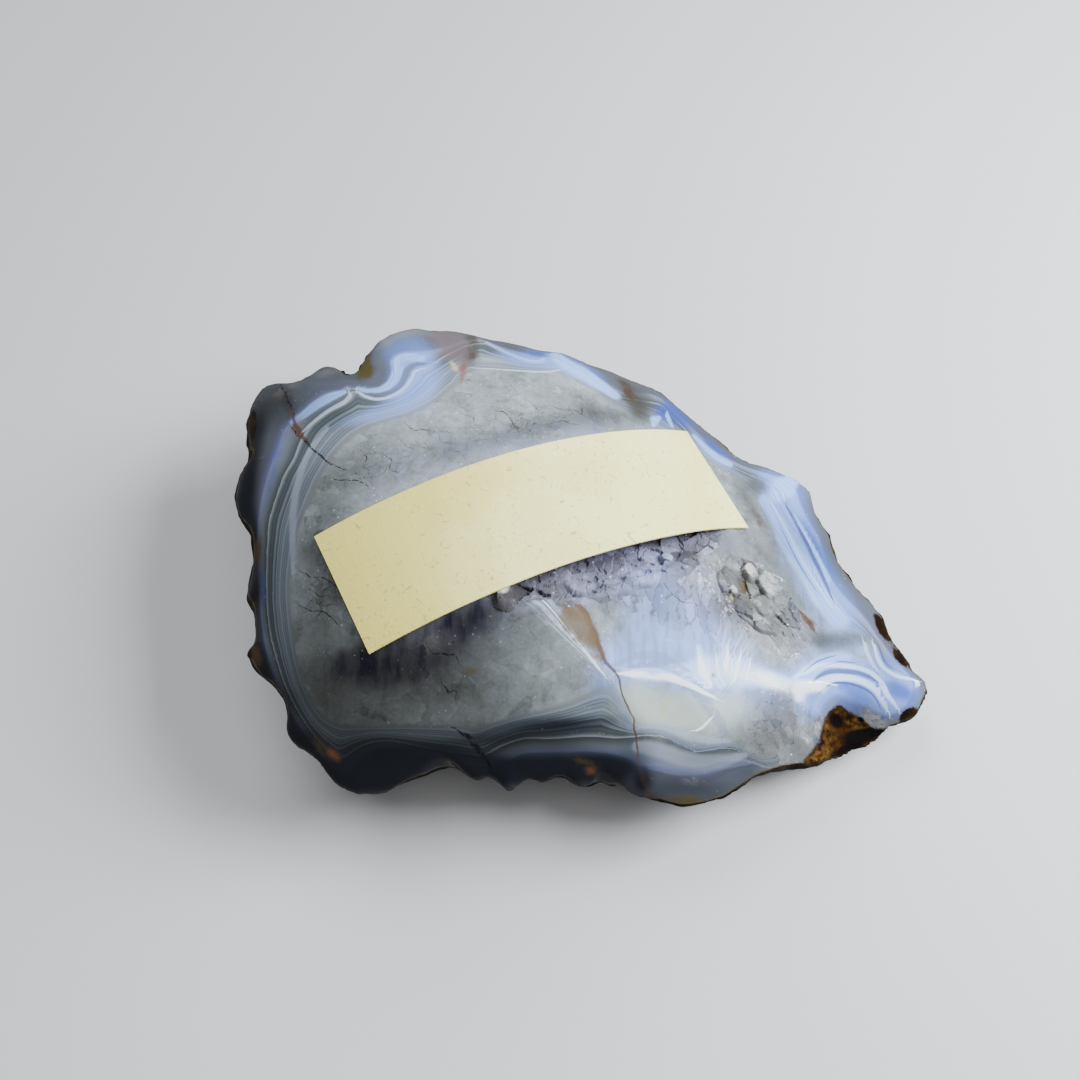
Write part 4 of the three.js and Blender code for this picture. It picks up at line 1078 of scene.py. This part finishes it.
def make_stone():
    """The stone: the CAD form made smooth, with an even mesh, and its rough skin lumpy."""
    smooth = merged_copy("agate", "smooth_form")
    smooth_through_corners(smooth)
    stone = linked_copy(smooth.data, "agate_stone")
    add_modifier(stone, "REMESH", mode="VOXEL", voxel_size=STONE_PITCH * MM)
    add_modifier(stone, "SHRINKWRAP", target=smooth)
    add_modifier(stone, "SMOOTH", factor=0.5, iterations=2)
    bpy.data.objects.remove(smooth)

    points, normals = corners(stone) / MM, corners(stone, "normal")
    places = points[:, :2]
    # The skin is 0 on the polished face, which turns over the rim on the near side, and 1
    # round and under it, also on ledges well below the rim.
    near_side = ease(-places[:, 1], 33, 36) * ease(-places[:, 0], -12, -4)
    depth = depth_inside(places, RIM) + 2.4 * near_side
    over_rim = points[:, 2] - RIM_HEIGHT - places @ RIM_RISE
    face = ease(normals[:, 2], -0.18, 0.02) * ease(depth, -0.2, 0.5)
    skin = 1 - face * ease(over_rim, -6, -4.5)
    # Knobs 2.6 mm wide, with smaller ones on them.
    knobs = 0.32 * lumps(points, 2.6) + 0.14 * lumps(points, 1.1, 7)
    points += normals * (skin * knobs)[:, None]
    points[:, 2] = np.maximum(points[:, 2], ground_level / MM)
    move_corners(stone, points * MM)
    bpy.ops.object.shade_smooth()

    store(stone, "skin", skin)
    paint_bands(stone, places)
    paint_tints(stone, places)
    return stone


def paint_bands(stone, places):
    """Band depth: 0 at the rim, 1 to 3 at the three drawn bands, then 0.1 for each mm."""
    inside = [depth_inside(places, line) for line in (RIM, FIRST_BAND, BRIGHT_LINE, QUARTZ_EDGE)]
    depth = np.zeros(len(places))
    for k in range(3):
        outer, inner = np.maximum(inside[k], 0), np.maximum(-inside[k + 1], 0)
        depth = np.where(inside[k] > 0, k + outer / (outer + inner + 1e-6), depth)
    store(stone, "band_depth", np.where(inside[3] > 0, 3 + inside[3] / 10, depth))


def paint_tints(stone, places):
    """Stores the dabs, strokes, veins, stains and rays that the finish reads."""
    for name, dabs in TINTS.items():
        store(stone, name, dabbed(places, dabs))
    for name, sweeps in SWEEPS.items():
        store(stone, name, swept(places, sweeps))
    points = corners(stone) / MM
    wobble = np.stack([lumps(points, 1.7, 3), lumps(points, 1.7, 6)], 1)
    for name, veins in VEINS.items():
        side, near = drawn_veins(places + wobble * VEIN_SWAY.get(name, LEAST_SWAY), veins)
        store(stone, name + "_side", side)
        store(stone, name + "_near", near)
    store(stone, "rind_pocket", np.clip(depth_inside(places, RIND_POCKET), -3, 6))
    store(stone, "stain", np.clip(depth_inside(places, STAIN), -3, 3))
    turn, glow = np.zeros(len(places)), np.zeros(len(places))
    for (x, y), dab in FANS:
        shown = dabbed(places, [dab])
        turn = np.where(shown > glow, np.arctan2(places[:, 1] - y, places[:, 0] - x), turn)
        glow = np.maximum(glow, shown)
    store(stone, "fan_turn", turn)
    store(stone, "fan_glow", glow)


def make_label():
    """The paper strip: the CAD strip made smooth, with a slight wave."""
    strip = merged_copy("label", "paper_strip")
    bpy.ops.object.mode_set(mode="EDIT")
    bpy.ops.mesh.select_all(action="DESELECT")
    bpy.ops.mesh.edges_select_sharp(sharpness=math.radians(50))
    bpy.ops.transform.edge_crease(value=1)
    bpy.ops.object.mode_set(mode="OBJECT")
    round_off(strip)
    points = corners(strip) / MM
    flat = points * (1, 1, 0)
    points[:, 2] += 0.14 * lumps(flat, 13, 3) + 0.03 * lumps(flat, 4, 8)
    move_corners(strip, points * MM)
    bpy.ops.object.shade_smooth_by_angle(angle=math.radians(40))
    return strip


def sown(bed, pitch, seed, golden_angle=2.39996):
    """Spots about pitch millimetres apart over an oval bed, in a loose sunflower pattern."""
    rng = np.random.default_rng(seed)
    along, across = bed["size"]
    count = int(math.pi * along * across / pitch ** 2)
    i = np.arange(count)
    reach, angle = np.sqrt((i + 0.5) / count), i * golden_angle
    spots = np.stack([np.cos(angle) * reach * along, np.sin(angle) * reach * across], 1)
    return spots + rng.uniform(-0.3 * pitch, 0.3 * pitch, (count, 2))


def broken(places, spots, slope, step, uneven, seed):
    """Tilted facets, one for each spot: the height, a random tone and the gap beside them."""
    rng = np.random.default_rng(seed)
    tilt = rng.uniform(-slope, slope, (len(spots), 2))
    lift, tone = rng.uniform(-step, step, len(spots)), rng.random(len(spots))
    reach = np.linalg.norm(places[:, None] - spots[None], axis=2) - rng.uniform(0, uneven, len(spots))
    order = np.argsort(reach, axis=1)[:, :2]
    row, first = np.arange(len(places)), order[:, 0]
    height = lift[first] + np.sum(tilt[first] * (places - spots[first]), axis=1)
    return height, tone[first], reach[row, order[:, 1]] - reach[row, first]


def fine_oval(name, bed):
    """A flat grid over a disc of radius 1, even once it is stretched to the bed's size."""
    deselect()
    across, up = (int(half * 2 / CRUST_PITCH) for half in bed["size"])
    bpy.ops.mesh.primitive_grid_add(
        x_subdivisions=across, y_subdivisions=up, size=2, location=(0, 0, 0))
    sheet = bpy.context.object
    sheet.name = name
    bpy.ops.object.mode_set(mode="EDIT")
    bpy.ops.mesh.select_all(action="DESELECT")
    bpy.ops.mesh.select_mode(type="VERT")
    bpy.ops.object.mode_set(mode="OBJECT")
    for corner in sheet.data.vertices:
        corner.select = corner.co.xy.length > 1
    bpy.ops.object.mode_set(mode="EDIT")
    bpy.ops.mesh.delete(type="VERT")
    bpy.ops.object.mode_set(mode="OBJECT")
    return sheet


def laid_on(places, flat, reach, fill, raised, stone, strip):
    """The height of a raised sheet over the stone, filled up and kept under the strip."""
    scene = bpy.context.evaluated_depsgraph_get()
    ground, cover = BVHTree.FromObject(stone, scene), BVHTree.FromObject(strip, scene)
    down, up = Vector((0, 0, -1)), Vector((0, 0, 1))
    over_all = 0.06  # metres
    low = [ground.ray_cast(Vector((x * MM, y * MM, over_all)), down)[0].z for x, y in places]
    low = np.array(low) / MM
    # The dome as it would run on over the hollow, from the ground round the bed.
    terms = np.stack([flat[:, 0] ** k * flat[:, 1] ** m for k in range(4) for m in range(4 - k)], 1)
    rim = reach > 0.93
    dome = terms @ np.linalg.lstsq(terms[rim], low[rim], rcond=None)[0]
    height = low + fill * np.clip(dome - low, 0, 3) + raised
    hits = [cover.ray_cast(Vector((x * MM, y * MM, 0)), up)[0] for x, y in places]
    return np.minimum(height, [hit.z / MM - 0.15 if hit else np.inf for hit in hits])


def grow_crust(name, bed, stone, strip, seed):
    """A crust of broken quartz: a fine grid laid on the stone and raised in tilted facets."""
    crust = fine_oval(name, bed)
    unit = corners(crust)[:, :2]
    flat, reach = unit * bed["size"], np.linalg.norm(unit, axis=1)
    turn = math.radians(bed["heading"])
    places = np.stack([
        bed["at"][0] + flat[:, 0] * math.cos(turn) - flat[:, 1] * math.sin(turn),
        bed["at"][1] + flat[:, 0] * math.sin(turn) + flat[:, 1] * math.cos(turn)], 1)

    level = flat @ np.eye(2, 3)
    big, tone, gap = broken(
        flat, sown(bed, bed["lump"], seed), slope=0.26, step=0.35, uneven=bed["lump"] * 0.45,
        seed=seed + 1)
    small, fine_tone, _ = broken(
        flat, sown(bed, 1.5, seed + 2), slope=0.24, step=0.09, uneven=0.5, seed=seed + 3)
    # Single crystals have flat tops and rounded, slanting sides.
    slant = np.array([[0.8, -0.6], [0.6, 0.8]])
    for x, y, size, rise, shade in bed["knobs"]:
        away = np.linalg.norm(np.abs(places - (x, y)) @ slant / size, 3, axis=1)
        knob = np.clip(1.5 - 1.5 * away ** 3, 0, 1)
        big, tone = big * (1 - knob) + rise * knob, tone * (1 - knob) + shade * knob
        gap = gap + 2 * knob
    cleft = bed["cleft"] * ease(-gap, -0.45, 0) * ease(lumps(level, 3.0, seed), 0.05, 0.4)
    # Ragged edges sink into the stone.
    inward = ease(1 - reach + 0.12 * lumps(level, 3.5, seed + 4), 0.02, 0.16)
    raised = (big + small + 0.35 - 0.7 * cleft) * inward - 0.5 * (1 - inward)

    height = laid_on(places, flat, reach, bed["fill"], raised, stone, strip)
    move_corners(crust, np.column_stack([places, height]) * MM)
    store(crust, "tone", tone * 0.7 + fine_tone * 0.3 + bed["pale"])
    # How high each place stands, low in clefts; the finish paints shade where it is low.
    store(crust, "rise", np.clip(0.5 + 0.5 * (big + small) + bed["pale"], 0, 1) * (1 - cleft))
    for tint in ("lilac", "milk", "dusk", "grime", "cream"):
        store(crust, tint, dabbed(places, TINTS[tint]))
    add_modifier(crust, "SOLIDIFY", thickness=1.0 * MM, offset=-1)
    return crust


def dress(piece, look, node):
    piece.data.materials.clear()
    piece.data.materials.append(look)
    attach(piece, "root")
    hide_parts(node)


def add_lamp(kind, name, turn, rise, reach, power, tone, spread, mirrored):
    turn, rise = math.radians(turn), math.radians(rise)
    way = Vector((math.cos(rise) * math.cos(turn), math.cos(rise) * math.sin(turn), math.sin(rise)))
    deselect()
    bpy.ops.object.light_add(type=kind, location=way * reach)
    lamp = bpy.context.object
    lamp.name = name
    lamp.data.energy = power
    lamp.data.color = tone
    if kind == "AREA":
        lamp.data.size = spread
    else:
        lamp.data.angle = math.radians(spread)
    lamp.rotation_euler = way.to_track_quat("Z", "Y").to_euler()
    lamp.visible_glossy = mirrored


def set_camera():
    deselect()
    bpy.ops.object.camera_add(
        location=CAMERA_PLACE, rotation=(math.radians(CAMERA_TILT), 0, 0))
    camera = bpy.context.object
    camera.data.lens = CAMERA_LENS
    camera.data.sensor_width = 36
    camera.data.clip_start = 0.01
    bpy.context.scene.camera = camera


def set_studio():
    """A pale floor, the lamps and a grey sky."""
    deselect()
    bpy.ops.mesh.primitive_plane_add(size=6, location=(0, 0, ground_level - 0.0001))
    floor = bpy.context.object
    floor.name = "floor"
    look = Finish("pale_floor")
    floor.data.materials.append(look.principled(Base_Color=(0.62, 0.62, 0.63), Roughness=0.8))
    # The stone mirrors the sky alone, so that its darkest bands stay dark.
    floor.visible_glossy = False
    for settings in LAMPS:
        add_lamp(*settings)
    # The sky is paler to the eye than in its light.
    world = bpy.data.worlds.new("studio")
    world.use_nodes = True
    sky = world.node_tree
    background, seen = sky.nodes["Background"], sky.nodes.new("ShaderNodeLightPath")
    strength = sky.nodes.new("ShaderNodeMapRange")
    sky.links.new(seen.outputs["Is Camera Ray"], strength.inputs["Value"])
    strength.inputs["To Min"].default_value = 0.2
    strength.inputs["To Max"].default_value = 0.6
    sky.links.new(strength.outputs["Result"], background.inputs["Strength"])
    background.inputs["Color"].default_value = (0.8, 0.82, 0.85, 1)
    bpy.context.scene.world = world


set_camera()
set_studio()
stone = make_stone()
strip = make_label()
hollow_druse = grow_crust("hollow_druse", HOLLOW_BED, stone, strip, 5)
pocket_druse = grow_crust("pocket_druse", POCKET_BED, stone, strip, 8)
dress(stone, agate_finish(), "agate")
quartz = quartz_finish()
dress(hollow_druse, quartz, "hollow_crystals")
dress(pocket_druse, quartz, "pocket_crystals")
dress(strip, paper_finish(), "label")
